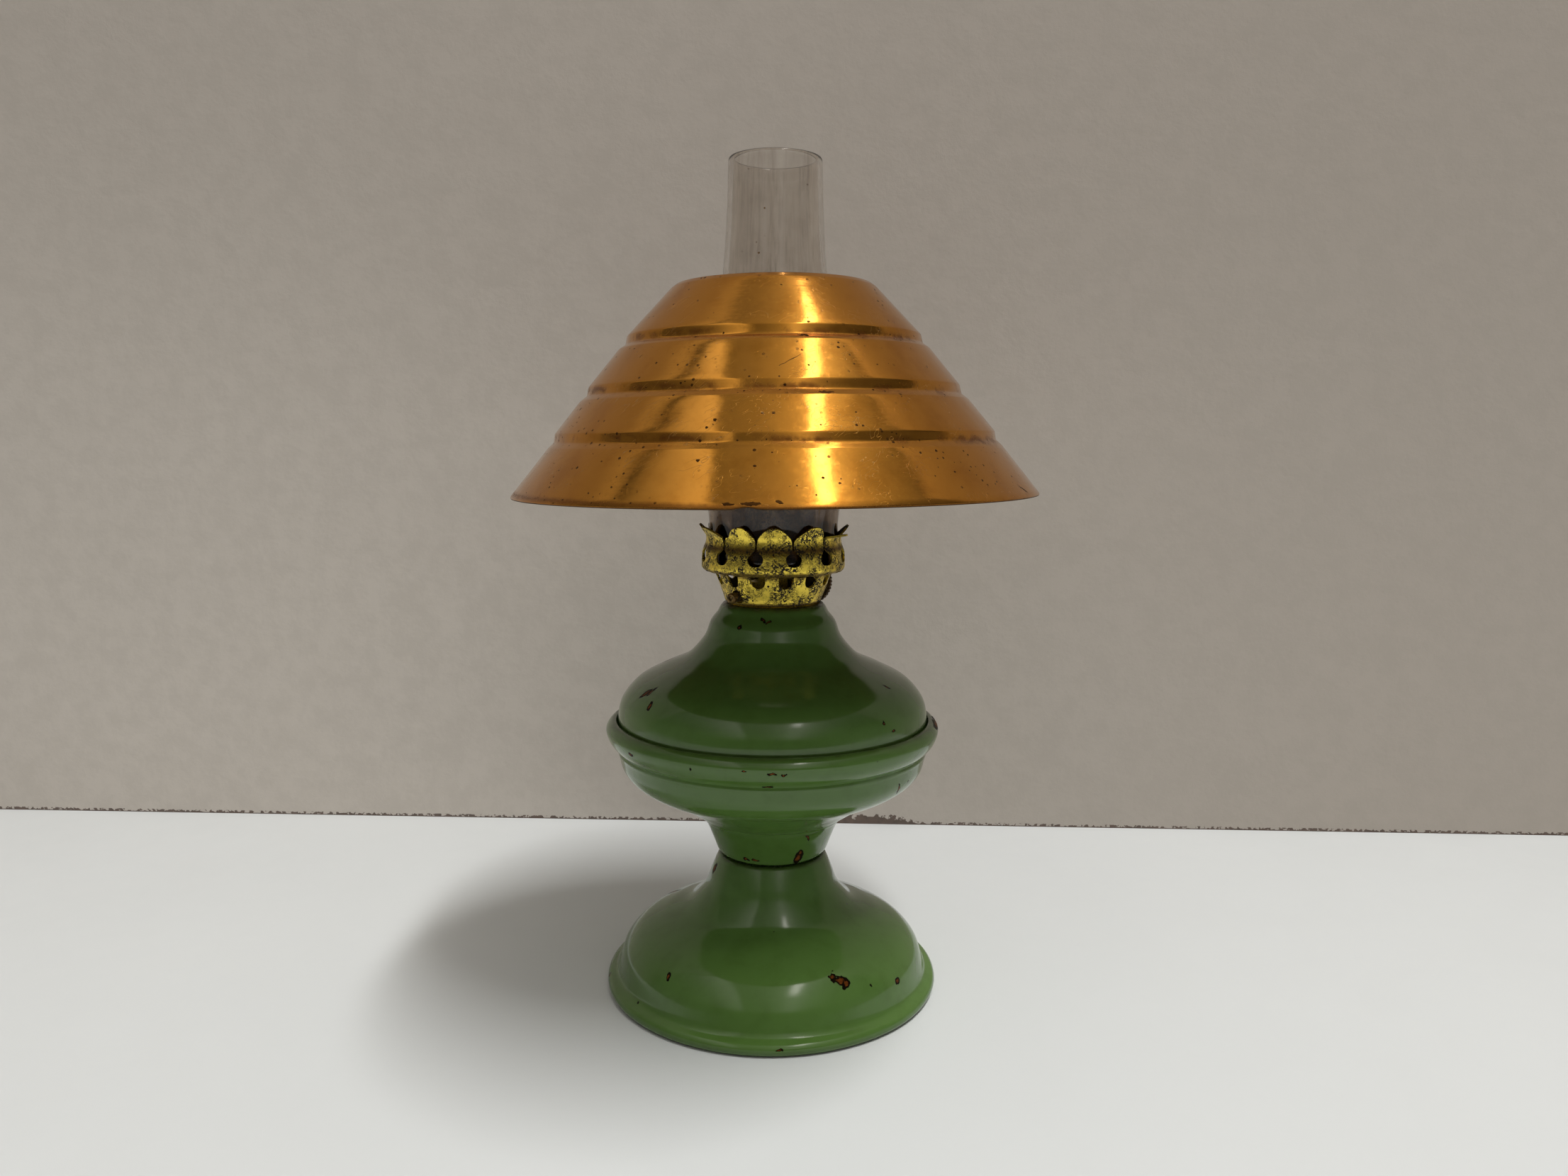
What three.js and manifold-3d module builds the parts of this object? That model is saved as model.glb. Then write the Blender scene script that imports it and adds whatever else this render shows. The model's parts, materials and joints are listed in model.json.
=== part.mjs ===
// A miniature kerosene lamp: a green tin foot and oil font, a brass burner with a wick winder,
// a glass chimney, and a stepped copper shade that rests on the chimney.
// Millimetres, +Z up, front towards -Y. The origin is on the table, in the middle of the foot.
import * as THREE from "three";
import { mergeVertices } from "three/addons/utils/BufferGeometryUtils.js";
import Module from "manifold-3d";

const wasm = await Module();
wasm.setup();

// ---------------------------------------------------------------- driving dimensions

const SEGMENTS = 32; // sides of every solid of revolution
const FIT = 0.06; // radial clearance of a running or sliding fit
const SEAT = 0.3; // gap between two pieces that rest on or are soldered to each other
const TIN = 0.8; // thickness of the foot's and font's sheet
const BRASS = 0.5; // thickness of the burner's sheet

const FOOT_TOP = 30.3; // height of the flat top of the foot's neck
const RIVET_R = 1.3;
const CUP_TOP = 38.2;
const BOWL_FLOOR = 38.6; // underside of the font
const NECK_TOP = 88.45; // rim of the font's neck
const NECK_BORE_R = 10.45;

const COLLAR_R = 9.45; // bore of the threaded collar, at the thread's crests
const COLLAR_BOTTOM = 83.6;
const DECK = NECK_TOP + SEAT; // underside of the burner's floor
const DECK_SHEET = 0.45;
const BASKET_BOTTOM_R = 10.7;
const BASKET_TOP_R = 13.1;
const BASKET_TOP = 95.3;
const AIR_HOLES = 13;
const AIR_HOLE_R = 1.65;
const AIR_HOLE_Z = 94.65; // centre of each hole's round lower end
const AIR_HOLE_TURN = -0.75; // degrees from the front to the middle of the pattern

const GALLERY_R = 16.1;
const GALLERY_TOP = 97.8;
const PRONGS = 12;
const PRONG_TURN = 1.4; // degrees from the front to the first prong
const PRONG_SHEET = 0.4;

const PLATE_Z = 95.95; // underside of the air diffuser
const PLATE_SHEET = 0.4;
const DEFLECTOR_R = 9.3;
const DEFLECTOR_TOP = 116.7;

const WICK_WIDTH = 9.6;
const WICK_THICK = 1.2;
const WICK_BOTTOM = 47;
const WICK_TOP = 112.5;
const TUBE_BOTTOM = 81;
const TUBE_TOP = 111.5;
const TUBE_WALL = 0.4;
const TUBE_WIDTH = 11;
const TUBE_THICK = 2.5;

const SHAFT_Z = 90.7;
const SHAFT_R = 1.1;
const SHAFT_OFFSET = 2.4; // from the wick's middle plane to the shaft
const SHAFT_TURN = 28.5; // degrees from straight back towards the right
const SHAFT_FRONT = -14.65; // the free end, measured along the shaft
const WHEEL_AT = 23.2; // middle of the thumbwheel, measured along the shaft
const WHEEL_R = 5.7;
const WHEEL_THICK = 1.1;
const SPUR_AT = 2.3; // each spur wheel's distance from the lamp's axis plane
const SPUR_TIP_R = 1.72;
const SPUR_ROOT_R = 1.4;
const SPUR_WIDTH = 1;
const SPUR_TEETH = 10;

const CHIMNEY_BOTTOM = 97.25;
const GLASS = 1.1;
const SHADE_TOP = 158.2;
const SHADE_HOLE_R = 11.95;
const COPPER = 0.6;

// ---------------------------------------------------------------- materials

const green = () => paint(0x4f7a4a);
const brass = () => metal(0xb59a4a, 0.38);
const steel = () => metal(0x8a8478, 0.45);

function paint(color) {
  return new THREE.MeshStandardMaterial({ color, roughness: 0.3, metalness: 0.1 });
}

function metal(color, roughness) {
  return new THREE.MeshStandardMaterial({ color, roughness, metalness: 1 });
}

function glass() {
  return new THREE.MeshStandardMaterial({
    color: 0xe8ece8,
    roughness: 0.05,
    metalness: 0,
    transparent: true,
    opacity: 0.35,
  });
}

function cotton() {
  return new THREE.MeshStandardMaterial({ color: 0xd8cfb8, roughness: 0.9, metalness: 0 });
}

// ---------------------------------------------------------------- geometry helpers

const radians = THREE.MathUtils.degToRad;

// One index for each corner that faces share, with no face that has collapsed to a line.
function welded(geometry) {
  const bare = geometry.clone();
  bare.deleteAttribute("normal");
  bare.deleteAttribute("uv");
  const merged = mergeVertices(bare, 1e-4);
  const index = merged.index.array;
  const kept = [];
  for (let i = 0; i < index.length; i += 3) {
    const [a, b, c] = index.slice(i, i + 3);
    if (a !== b && b !== c && c !== a) kept.push(a, b, c);
  }
  merged.setIndex(kept);
  return merged;
}

function solid(geometry) {
  const merged = welded(geometry);
  const mesh = new wasm.Mesh({
    numProp: 3,
    vertProperties: Float32Array.from(merged.attributes.position.array),
    triVerts: Uint32Array.from(merged.index.array),
  });
  return new wasm.Manifold(mesh);
}

function surface(body) {
  const { vertProperties, triVerts, numProp, numVert } = body.getMesh();
  const positions = new Float32Array(numVert * 3);
  for (let i = 0; i < numVert; i++) {
    positions.set(vertProperties.subarray(i * numProp, i * numProp + 3), i * 3);
  }
  const geometry = new THREE.BufferGeometry();
  geometry.setAttribute("position", new THREE.BufferAttribute(positions, 3));
  geometry.setIndex(new THREE.BufferAttribute(Uint32Array.from(triVerts), 1));
  geometry.computeVertexNormals();
  return geometry;
}

function cut(geometry, cutters) {
  return surface(cutters.reduce((body, cutter) => body.subtract(solid(cutter)), solid(geometry)));
}

function join(pieces) {
  return surface(pieces.map(solid).reduce((body, piece) => body.add(piece)));
}

// The signed area of an outline of [radius, height] corners: above 0 when it runs anticlockwise.
function area(outline) {
  return outline.reduce((sum, [r, z], i) => {
    const [r2, z2] = outline[(i + 1) % outline.length];
    return sum + (r * z2 - r2 * z) / 2;
  }, 0);
}

// A solid of revolution about Z. The outline closes on itself, or starts and ends on the axis.
function lathe(outline, segments = SEGMENTS) {
  const ordered = area(outline) > 0 ? outline : [...outline].reverse();
  const points = ordered.map(([r, z]) => new THREE.Vector2(r, z));
  const onAxis = ordered[0][0] === 0 && ordered.at(-1)[0] === 0;
  if (!onAxis) points.push(points[0].clone());
  return welded(new THREE.LatheGeometry(points, segments).rotateX(Math.PI / 2));
}

function ring(innerR, outerR, bottom, top, segments = SEGMENTS) {
  return lathe([[innerR, bottom], [outerR, bottom], [outerR, top], [innerR, top]], segments);
}

function disc(radius, bottom, top, segments = SEGMENTS) {
  return lathe([[0, bottom], [radius, bottom], [radius, top], [0, top]], segments);
}

// A line moved sideways by distance, to the left of its own direction.
function offset(line, distance) {
  const sides = line.slice(1).map(([r, z], i) => {
    const along = new THREE.Vector2(r - line[i][0], z - line[i][1]).normalize();
    return new THREE.Vector2(-along.y, along.x);
  });
  return line.map(([r, z], i) => {
    const before = sides[Math.max(i - 1, 0)];
    const after = sides[Math.min(i, sides.length - 1)];
    const mitre = before.clone().add(after).normalize();
    const reach = distance / mitre.dot(after);
    return [r + mitre.x * reach, z + mitre.y * reach];
  });
}

// A pressed or blown wall: the outside line, from its bottom up, and the same line moved inwards.
function shell(outside, thickness) {
  return lathe([...outside, ...offset(outside, thickness).reverse()]);
}

// Points along an arc from one angle to another, in degrees, about [r, z].
function arc([r, z], radius, from, to, steps) {
  return Array.from({ length: steps + 1 }, (_, i) => {
    const angle = radians(from + ((to - from) * i) / steps);
    return [r + radius * Math.cos(angle), z + radius * Math.sin(angle)];
  });
}

function box(from, to) {
  const size = to.map((v, i) => v - from[i]);
  const middle = to.map((v, i) => (v + from[i]) / 2);
  return new THREE.BoxGeometry(...size).translate(...middle);
}

// A flat outline with round ends, width along X and thickness along Y.
function stadium(width, thickness) {
  const shape = new THREE.Shape();
  const half = (width - thickness) / 2;
  shape.absarc(half, 0, thickness / 2, -Math.PI / 2, Math.PI / 2);
  shape.absarc(-half, 0, thickness / 2, Math.PI / 2, (3 * Math.PI) / 2);
  return shape;
}

function extrude(shape, bottom, top, curveSegments = 4) {
  const settings = { depth: top - bottom, bevelEnabled: false, curveSegments };
  return new THREE.ExtrudeGeometry(shape, settings).translate(0, 0, bottom);
}

// ---------------------------------------------------------------- the winder's frame

// X is away from the wick's middle plane, Y is up and Z is along the shaft, towards the thumbwheel.
const alongShaft = new THREE.Vector3(
  Math.sin(radians(SHAFT_TURN)),
  Math.cos(radians(SHAFT_TURN)),
  0,
);
const fromWick = new THREE.Vector3(-alongShaft.y, alongShaft.x, 0);
const winderFrame = new THREE.Matrix4()
  .makeBasis(fromWick, new THREE.Vector3(0, 0, 1), alongShaft)
  .setPosition(0, 0, SHAFT_Z);

function inWinderFrame(geometry) {
  return geometry.clone().applyMatrix4(winderFrame);
}

// A shape drawn with its width along X turns to lie along the shaft.
function alongWick(geometry) {
  return geometry.clone().rotateZ(radians(90 - SHAFT_TURN));
}

function shaftRod(radius, from, to, sides = 16) {
  return disc(radius, from, to, sides).translate(SHAFT_OFFSET, 0, 0);
}

// ---------------------------------------------------------------- the base

const root = new THREE.Group();

function part(parent, name, geometry, material) {
  const mesh = new THREE.Mesh(geometry, material);
  mesh.name = name;
  parent.add(mesh);
  return mesh;
}

// The same pressing serves the foot's and the font's domed tops: a shoulder, a fillet and a neck.
function domeLine(shoulderR, shoulderZ) {
  return [
    [shoulderR - 1.1, shoulderZ + 3.3],
    [shoulderR - 4, shoulderZ + 6.6],
    [shoulderR - 9.4, shoulderZ + 9.5],
    [shoulderR - 15.4, shoulderZ + 12.3],
    [shoulderR - 17.8, shoulderZ + 14.6],
    [shoulderR - 19.7, shoulderZ + 17.2],
    [shoulderR - 20.9, shoulderZ + 20.4],
  ];
}

const RIM_R = 38.1;
const RIM_TUBE_R = 1.45;
const RIM_FLAT = [35.6, 37]; // inner and outer radius of the flat that the lamp stands on
const SHOULDER_R = 34.95;
const FOOT_SHOULDER_Z = 5.6;

function makeFoot() {
  const rimCentre = [RIM_R - RIM_TUBE_R, RIM_TUBE_R];
  const outside = [
    ...arc(rimCentre, RIM_TUBE_R, -50, 75, 3),
    [35.2, 5],
    ...domeLine(SHOULDER_R, FOOT_SHOULDER_Z),
    [12.9, 28.8],
    [12.1, FOOT_TOP],
  ];
  const throat = [
    [RIVET_R + SEAT, FOOT_TOP],
    [RIVET_R + SEAT, FOOT_TOP - TIN],
    [11.3, FOOT_TOP - TIN],
    [13.2, 25.6],
    [14.6, 22.2],
    [16.6, 19.6],
    [19.1, 17.2],
    [25.2, 14.2],
    [30.4, 11.4],
    [33, 8.4],
    [34.5, 4.2],
    [RIM_FLAT[0], 0],
  ];
  return lathe([[RIM_FLAT[1], 0], ...outside, ...throat]);
}

function makeStemCup() {
  const bottom = FOOT_TOP + SEAT;
  return lathe([
    [RIVET_R + SEAT, bottom],
    [12.1, bottom],
    [12.7, 31.6],
    [13.8, 34.6],
    [15.3, CUP_TOP],
    [14.4, CUP_TOP],
    [12.9, 34.6],
    [11.8, bottom + TIN],
    [RIVET_R + SEAT, bottom + TIN],
  ]);
}

// The rivet's shank stays clear of the two holes, and its heads sit just off the two sheets.
function makeStemRivet() {
  const headR = 2.8;
  const headHeight = 1.2;
  const below = FOOT_TOP - TIN - SEAT;
  const above = FOOT_TOP + SEAT + TIN + SEAT;
  return lathe(
    [
      [0, below - headHeight],
      [headR * 0.7, below - headHeight * 0.8],
      [headR, below],
      [RIVET_R, below],
      [RIVET_R, above],
      [headR, above],
      [headR * 0.7, above + headHeight * 0.8],
      [0, above + headHeight],
    ],
    16,
  );
}

// The bowl's bead stands round the dome's wall, which sits on the ledge inside it.
const BEAD_TOP = 62.3;
const BEAD_LEDGE = 59.7;

function makeFontBowl() {
  const groove = SHOULDER_R + SEAT;
  const outside = [
    [0, BOWL_FLOOR],
    [15.3, BOWL_FLOOR],
    [18.4, 40.9],
    [21.8, 43.2],
    [25.7, 45.3],
    [29.4, 47.1],
    [32.4, 49.2],
    [34.1, 51.6],
    [34.7, 54.2],
    [34.7, 55.6],
    [36.6, 57.2],
    [37.6, 60.3],
    [36.9, 61.6],
    [36, BEAD_TOP],
    [groove, 61.9],
  ];
  const inside = [
    [groove, BEAD_LEDGE],
    [33.9, BEAD_LEDGE - 0.3],
    [33.9, 54.4],
    [33.3, 51.9],
    [31.8, 49.8],
    [29, 47.8],
    [21.3, 44],
    [15, BOWL_FLOOR + TIN],
    [0, BOWL_FLOOR + TIN],
  ];
  return lathe([...outside, ...inside]);
}

function makeFontDome() {
  const bottom = BEAD_LEDGE + SEAT;
  const outside = [
    [SHOULDER_R, bottom],
    [SHOULDER_R, 63.6],
    ...domeLine(SHOULDER_R, 64),
    [12.4, 86.5],
    [11.9, 87.5],
    [11.3, 88.25],
    [10.8, NECK_TOP],
    [NECK_BORE_R, NECK_TOP],
  ];
  const inside = [
    [NECK_BORE_R, 87.5],
    [11.3, 86.9],
    [13.2, 83.9],
    [14.6, 80.7],
    [16.6, 78.1],
    [19.1, 75.6],
    [25.2, 72.6],
    [30.4, 69.8],
    [33, 66.8],
    [SHOULDER_R - TIN, 63.4],
    [SHOULDER_R - TIN, bottom],
  ];
  return lathe([...outside, ...inside]);
}

// The collar's flange is held under the neck's turned-in rim.
function makeFontCollar() {
  const outer = NECK_BORE_R - FIT;
  const flangeTop = 86.8;
  const flange = 0.6;
  return lathe([
    [COLLAR_R, COLLAR_BOTTOM],
    [outer, COLLAR_BOTTOM],
    [outer, flangeTop - flange],
    [outer + flange, flangeTop - flange],
    [outer + flange, flangeTop],
    [outer, flangeTop],
    [outer, NECK_TOP - SEAT / 2],
    [COLLAR_R, NECK_TOP - SEAT / 2],
  ]);
}

part(root, "foot", makeFoot(), green());
part(root, "stem_cup", makeStemCup(), green());
part(root, "stem_rivet", makeStemRivet(), steel());
part(root, "font_bowl", makeFontBowl(), green());
part(root, "font_dome", makeFontDome(), green());
part(root, "font_collar", makeFontCollar(), brass());

// ---------------------------------------------------------------- the burner

// The flat outline of the wick tube with a little more room, for the sheets that it passes through.
const tubeClearance = () => stadium(TUBE_WIDTH + 2 * SEAT, TUBE_THICK + 2 * SEAT);

function makeBurnerSkirt() {
  const outer = COLLAR_R - FIT;
  const inner = outer - BRASS;
  const deckTop = DECK + DECK_SHEET;
  const skirt = lathe([
    [0, DECK],
    [inner, DECK],
    [inner, COLLAR_BOTTOM + 0.6],
    [outer, COLLAR_BOTTOM + 0.6],
    [outer, DECK],
    [BASKET_BOTTOM_R - BRASS - SEAT / 2, DECK],
    [BASKET_BOTTOM_R - BRASS - SEAT / 2, deckTop],
    [0, deckTop],
  ]);
  const wickSlot = alongWick(extrude(tubeClearance(), DECK - 1, deckTop + 1));
  const spurReach = SPUR_TIP_R + SEAT;
  const spurRoom = inWinderFrame(
    box(
      [0.5, DECK - 1 - SHAFT_Z, -SPUR_AT - SPUR_WIDTH],
      [SHAFT_OFFSET + spurReach, deckTop + 1 - SHAFT_Z, SPUR_AT + SPUR_WIDTH],
    ),
  );
  const ventR = 0.8;
  const vent = disc(ventR, DECK - 1, deckTop + 1, 8).translate(5.2, -4.2, 0);
  return cut(skirt, [wickSlot, spurRoom, vent]);
}

// An upright hole with a round lower end, that goes out through the wall towards -Y.
function airHole(degrees) {
  const shape = new THREE.Shape();
  shape.absarc(0, 0, AIR_HOLE_R, Math.PI, 2 * Math.PI);
  shape.lineTo(AIR_HOLE_R, BASKET_TOP + 1 - AIR_HOLE_Z);
  shape.lineTo(-AIR_HOLE_R, BASKET_TOP + 1 - AIR_HOLE_Z);
  return extrude(shape, BASKET_BOTTOM_R - 2, BASKET_TOP_R + 2, 3)
    .rotateX(Math.PI / 2)
    .translate(0, 0, AIR_HOLE_Z)
    .rotateZ(radians(degrees));
}

const BUSH_R = 1.8;

function makeBurnerBasket() {
  const wall = lathe([
    [BASKET_BOTTOM_R - BRASS, DECK],
    [BASKET_BOTTOM_R, DECK],
    [BASKET_TOP_R, BASKET_TOP],
    [BASKET_TOP_R - BRASS, BASKET_TOP],
  ]);
  const holes = Array.from({ length: AIR_HOLES }, (_, i) =>
    airHole(AIR_HOLE_TURN + ((i + 0.5) * 360) / AIR_HOLES),
  );
  const frontHole = inWinderFrame(shaftRod(SHAFT_R + SEAT, -BASKET_TOP_R, 0, 10));
  const rearHole = inWinderFrame(shaftRod(BUSH_R + SEAT / 2, 0, BASKET_TOP_R, 12));
  return cut(wall, [...holes, frontHole, rearHole]);
}

// One prong as a thin sheet: each row is [height, outer radius, half width in degrees].
const PRONG_ROWS = [
  [97.1, 16, 8.4],
  [100.4, 15.85, 8.4],
  [101.5, 15.6, 13.6],
  [103.1, 15.05, 14.2],
  [104.9, 16.1, 12.2],
  [106.1, 16.85, 4],
];
const PRONG_COLUMNS = 3;

function prong(degrees) {
  const positions = [];
  for (const inwards of [0, PRONG_SHEET]) {
    for (const [z, r, half] of PRONG_ROWS) {
      for (let i = 0; i <= PRONG_COLUMNS; i++) {
        const turn = radians(degrees + half * ((2 * i) / PRONG_COLUMNS - 1));
        positions.push((r - inwards) * Math.sin(turn), -(r - inwards) * Math.cos(turn), z);
      }
    }
  }
  const rows = PRONG_ROWS.length - 1;
  const across = PRONG_COLUMNS + 1;
  const back = across * PRONG_ROWS.length;
  const at = (row, column) => row * across + column;
  const faces = [];
  const quad = (a, b, c, d) => faces.push(a, b, c, a, c, d);
  for (let row = 0; row < rows; row++) {
    for (let i = 0; i < PRONG_COLUMNS; i++) {
      quad(at(row, i), at(row, i + 1), at(row + 1, i + 1), at(row + 1, i));
      quad(
        back + at(row, i),
        back + at(row + 1, i),
        back + at(row + 1, i + 1),
        back + at(row, i + 1),
      );
    }
    quad(at(row, 0), at(row + 1, 0), back + at(row + 1, 0), back + at(row, 0));
    const last = PRONG_COLUMNS;
    quad(at(row, last), back + at(row, last), back + at(row + 1, last), at(row + 1, last));
  }
  for (let i = 0; i < PRONG_COLUMNS; i++) {
    quad(at(0, i), back + at(0, i), back + at(0, i + 1), at(0, i + 1));
    quad(at(rows, i), at(rows, i + 1), back + at(rows, i + 1), back + at(rows, i));
  }
  const geometry = new THREE.BufferGeometry();
  geometry.setAttribute("position", new THREE.Float32BufferAttribute(positions, 3));
  geometry.setIndex(faces);
  return geometry;
}

function makeGalleryCrown() {
  const innerR = 12.75;
  const wallR = GALLERY_R - PRONG_SHEET - 0.2;
  const seat = lathe([
    [innerR, BASKET_TOP + 0.1],
    [BASKET_TOP_R + 0.1, BASKET_TOP + 0.1],
    [15.5, 95.85],
    [GALLERY_R, 96.45],
    [GALLERY_R, GALLERY_TOP],
    [wallR, GALLERY_TOP],
    [wallR, 96.75],
    [15.2, 96.5],
    [innerR, BASKET_TOP + 0.6],
  ]);
  const prongs = Array.from({ length: PRONGS }, (_, i) => prong(PRONG_TURN + (i * 360) / PRONGS));
  return join([seat, ...prongs]);
}

function makeAirDiffuser() {
  const holes = 12;
  const holeR = 0.7;
  const pitchR = 11.3;
  const top = PLATE_Z + PLATE_SHEET;
  const plate = disc(12.5, PLATE_Z, top);
  const tubeSlot = alongWick(extrude(tubeClearance(), PLATE_Z - 1, top + 1));
  const air = Array.from({ length: holes }, (_, i) => {
    const turn = (i * 2 * Math.PI) / holes;
    return disc(holeR, PLATE_Z - 1, top + 1, 6).translate(
      pitchR * Math.cos(turn),
      pitchR * Math.sin(turn),
      0,
    );
  });
  return cut(plate, [tubeSlot, ...air]);
}

// A tall cap with a slot over the wick, for the flame.
function makeDeflectorDome() {
  const bottom = PLATE_Z + PLATE_SHEET + SEAT;
  const flangeR = 10.3;
  const outside = [
    [flangeR, bottom + BRASS],
    [DEFLECTOR_R, bottom + BRASS],
    [DEFLECTOR_R, 111],
    [8.4, 113.8],
    [5.6, 115.9],
    [0, DEFLECTOR_TOP],
  ];
  const inside = [
    [0, DEFLECTOR_TOP - BRASS],
    [5.4, 115.4],
    [8, 113.5],
    [DEFLECTOR_R - BRASS, 111],
    [DEFLECTOR_R - BRASS, bottom],
    [flangeR, bottom],
  ];
  const slot = extrude(stadium(WICK_WIDTH + 1.6, 3.2), 114, DEFLECTOR_TOP + 1);
  return cut(lathe([...inside, ...outside]), [alongWick(slot)]);
}

function makeWickTube() {
  const outline = stadium(TUBE_WIDTH, TUBE_THICK);
  outline.holes.push(stadium(TUBE_WIDTH - 2 * TUBE_WALL, TUBE_THICK - 2 * TUBE_WALL));
  const tube = alongWick(extrude(outline, TUBE_BOTTOM, TUBE_TOP));
  const slots = [-SPUR_AT, SPUR_AT].map((at) =>
    inWinderFrame(
      box([0.6, -SPUR_TIP_R, at - SPUR_WIDTH * 0.8], [2, SPUR_TIP_R, at + SPUR_WIDTH * 0.8]),
    ),
  );
  return cut(tube, slots);
}

// A box over the spur wheels, open towards the wick tube and downwards. Its ends carry the shaft.
function makeSpurCover() {
  const wall = 0.4;
  const near = TUBE_THICK / 2 + SEAT / 2;
  const far = SHAFT_OFFSET + SPUR_TIP_R + SEAT + wall;
  const half = 4.3;
  const low = DECK + DECK_SHEET + SEAT / 2 - SHAFT_Z;
  const high = SPUR_TIP_R + SEAT + wall;
  const block = box([near, low, -half], [far, high, half]);
  const room = box([near - 1, low - 1, wall - half], [far - wall, high - wall, half - wall]);
  return cut(block, [room, shaftRod(SHAFT_R + FIT, -half - 1, half + 1)]);
}

function makeShaftBush() {
  return ring(SHAFT_R + FIT, BUSH_R, 10.3, 14, 16).translate(SHAFT_OFFSET, 0, 0);
}

const winder = new THREE.Group();
winder.applyMatrix4(winderFrame);
root.add(winder);

part(root, "burner_skirt", makeBurnerSkirt(), brass());
part(root, "burner_basket", makeBurnerBasket(), brass());
part(root, "gallery_crown", makeGalleryCrown(), brass());
part(root, "air_diffuser", makeAirDiffuser(), brass());
part(root, "deflector_dome", makeDeflectorDome(), metal(0x8a7038, 0.45));
part(root, "wick_tube", makeWickTube(), brass());
part(winder, "spur_cover", makeSpurCover(), brass());
part(winder, "shaft_bush", makeShaftBush(), brass());

// ---------------------------------------------------------------- the winder and the wick

// The shaft's far end is riveted over the thumbwheel.
function makeWinderShaft() {
  const wheelFace = WHEEL_AT + WHEEL_THICK / 2 + SEAT / 2;
  const rod = lathe(
    [
      [0, SHAFT_FRONT],
      [SHAFT_R - 0.25, SHAFT_FRONT],
      [SHAFT_R, SHAFT_FRONT + 0.25],
      [SHAFT_R, wheelFace],
      [SHAFT_R + 0.6, wheelFace],
      [SHAFT_R + 0.3, wheelFace + 0.6],
      [0, wheelFace + 0.7],
    ],
    16,
  );
  return rod.translate(SHAFT_OFFSET, 0, 0);
}

// An outline with teeth: the radius swings between root and tip once for each tooth.
function toothedShape(teeth, rootR, tipR, boreR) {
  const shape = new THREE.Shape();
  for (let i = 0; i < teeth * 2; i++) {
    const angle = (i * Math.PI) / teeth;
    const r = i % 2 ? rootR : tipR;
    const corner = [r * Math.cos(angle), r * Math.sin(angle)];
    if (i) shape.lineTo(...corner);
    else shape.moveTo(...corner);
  }
  shape.holes.push(new THREE.Path().absarc(0, 0, boreR, 0, 2 * Math.PI));
  return shape;
}

function makeSpurWheel(at) {
  const shape = toothedShape(SPUR_TEETH, SPUR_ROOT_R, SPUR_TIP_R, SHAFT_R + FIT);
  return extrude(shape, at - SPUR_WIDTH / 2, at + SPUR_WIDTH / 2, 8).translate(SHAFT_OFFSET, 0, 0);
}

function makeThumbwheel() {
  const knurls = 30;
  const low = WHEEL_AT - WHEEL_THICK / 2;
  const high = WHEEL_AT + WHEEL_THICK / 2;
  const rim = extrude(toothedShape(knurls, WHEEL_R - 0.25, WHEEL_R, SHAFT_R + FIT), low, high, 8);
  const hub = ring(SHAFT_R + FIT, 2, low - 1.5, low + 0.3, 16);
  return join([rim, hub]).translate(SHAFT_OFFSET, 0, 0);
}

function makeWick() {
  return alongWick(extrude(stadium(WICK_WIDTH, WICK_THICK), WICK_BOTTOM, WICK_TOP, 2));
}

part(winder, "winder_shaft", makeWinderShaft(), brass());
part(winder, "spur_wheel_front", makeSpurWheel(-SPUR_AT), brass());
part(winder, "spur_wheel_rear", makeSpurWheel(SPUR_AT), brass());
part(winder, "thumbwheel", makeThumbwheel(), metal(0x3a2a20, 0.5));
part(root, "wick", makeWick(), cotton());

// ---------------------------------------------------------------- the chimney and the shade

function makeChimney() {
  const outside = [
    [14.4, CHIMNEY_BOTTOM],
    [14.5, 107],
    [15.6, 113.5],
    [17.9, 119.6],
    [18.8, 126.4],
    [17.6, 135],
    [14.3, 146],
    [12.2, 153.5],
    [11.2, 162.5],
    [10.5, 173],
    [10.14, 184.6],
  ];
  return shell(outside, GLASS);
}

// Four conical bands. Between two bands the wall drops down a short riser, then runs out to the
// next band. The top turns in to a flat ring that rests round the chimney.
function makeShade() {
  const outside = [
    [57.6, 113.4],
    [49.4, 123.3],
    [48.1, 124.4],
    [47.8, 126.2],
    [42.2, 133.1],
    [40.7, 134.2],
    [40.3, 136.1],
    [33.8, 144],
    [32.3, 145],
    [31.9, 146.9],
    [22.3, 157.1],
    [21.2, 157.9],
    [19.4, SHADE_TOP],
    [SHADE_HOLE_R, SHADE_TOP],
  ];
  return shell(outside, COPPER);
}

part(root, "chimney", makeChimney(), glass());
part(root, "shade", makeShade(), metal(0xb87a3a, 0.35));

export default root;
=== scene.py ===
# A miniature kerosene lamp: fine meshes and materials around its CAD frame, a pale table, a wall,
# soft room light and a camera. Outlines are (radius, height) in millimetres; angles are in degrees
# and run from the lamp's front, which faces -Y, towards +X.
import json
import math
import random

import bpy
from mathutils import Matrix, Vector
from mathutils.geometry import delaunay_2d_cdt
from mathutils.noise import noise


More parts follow.
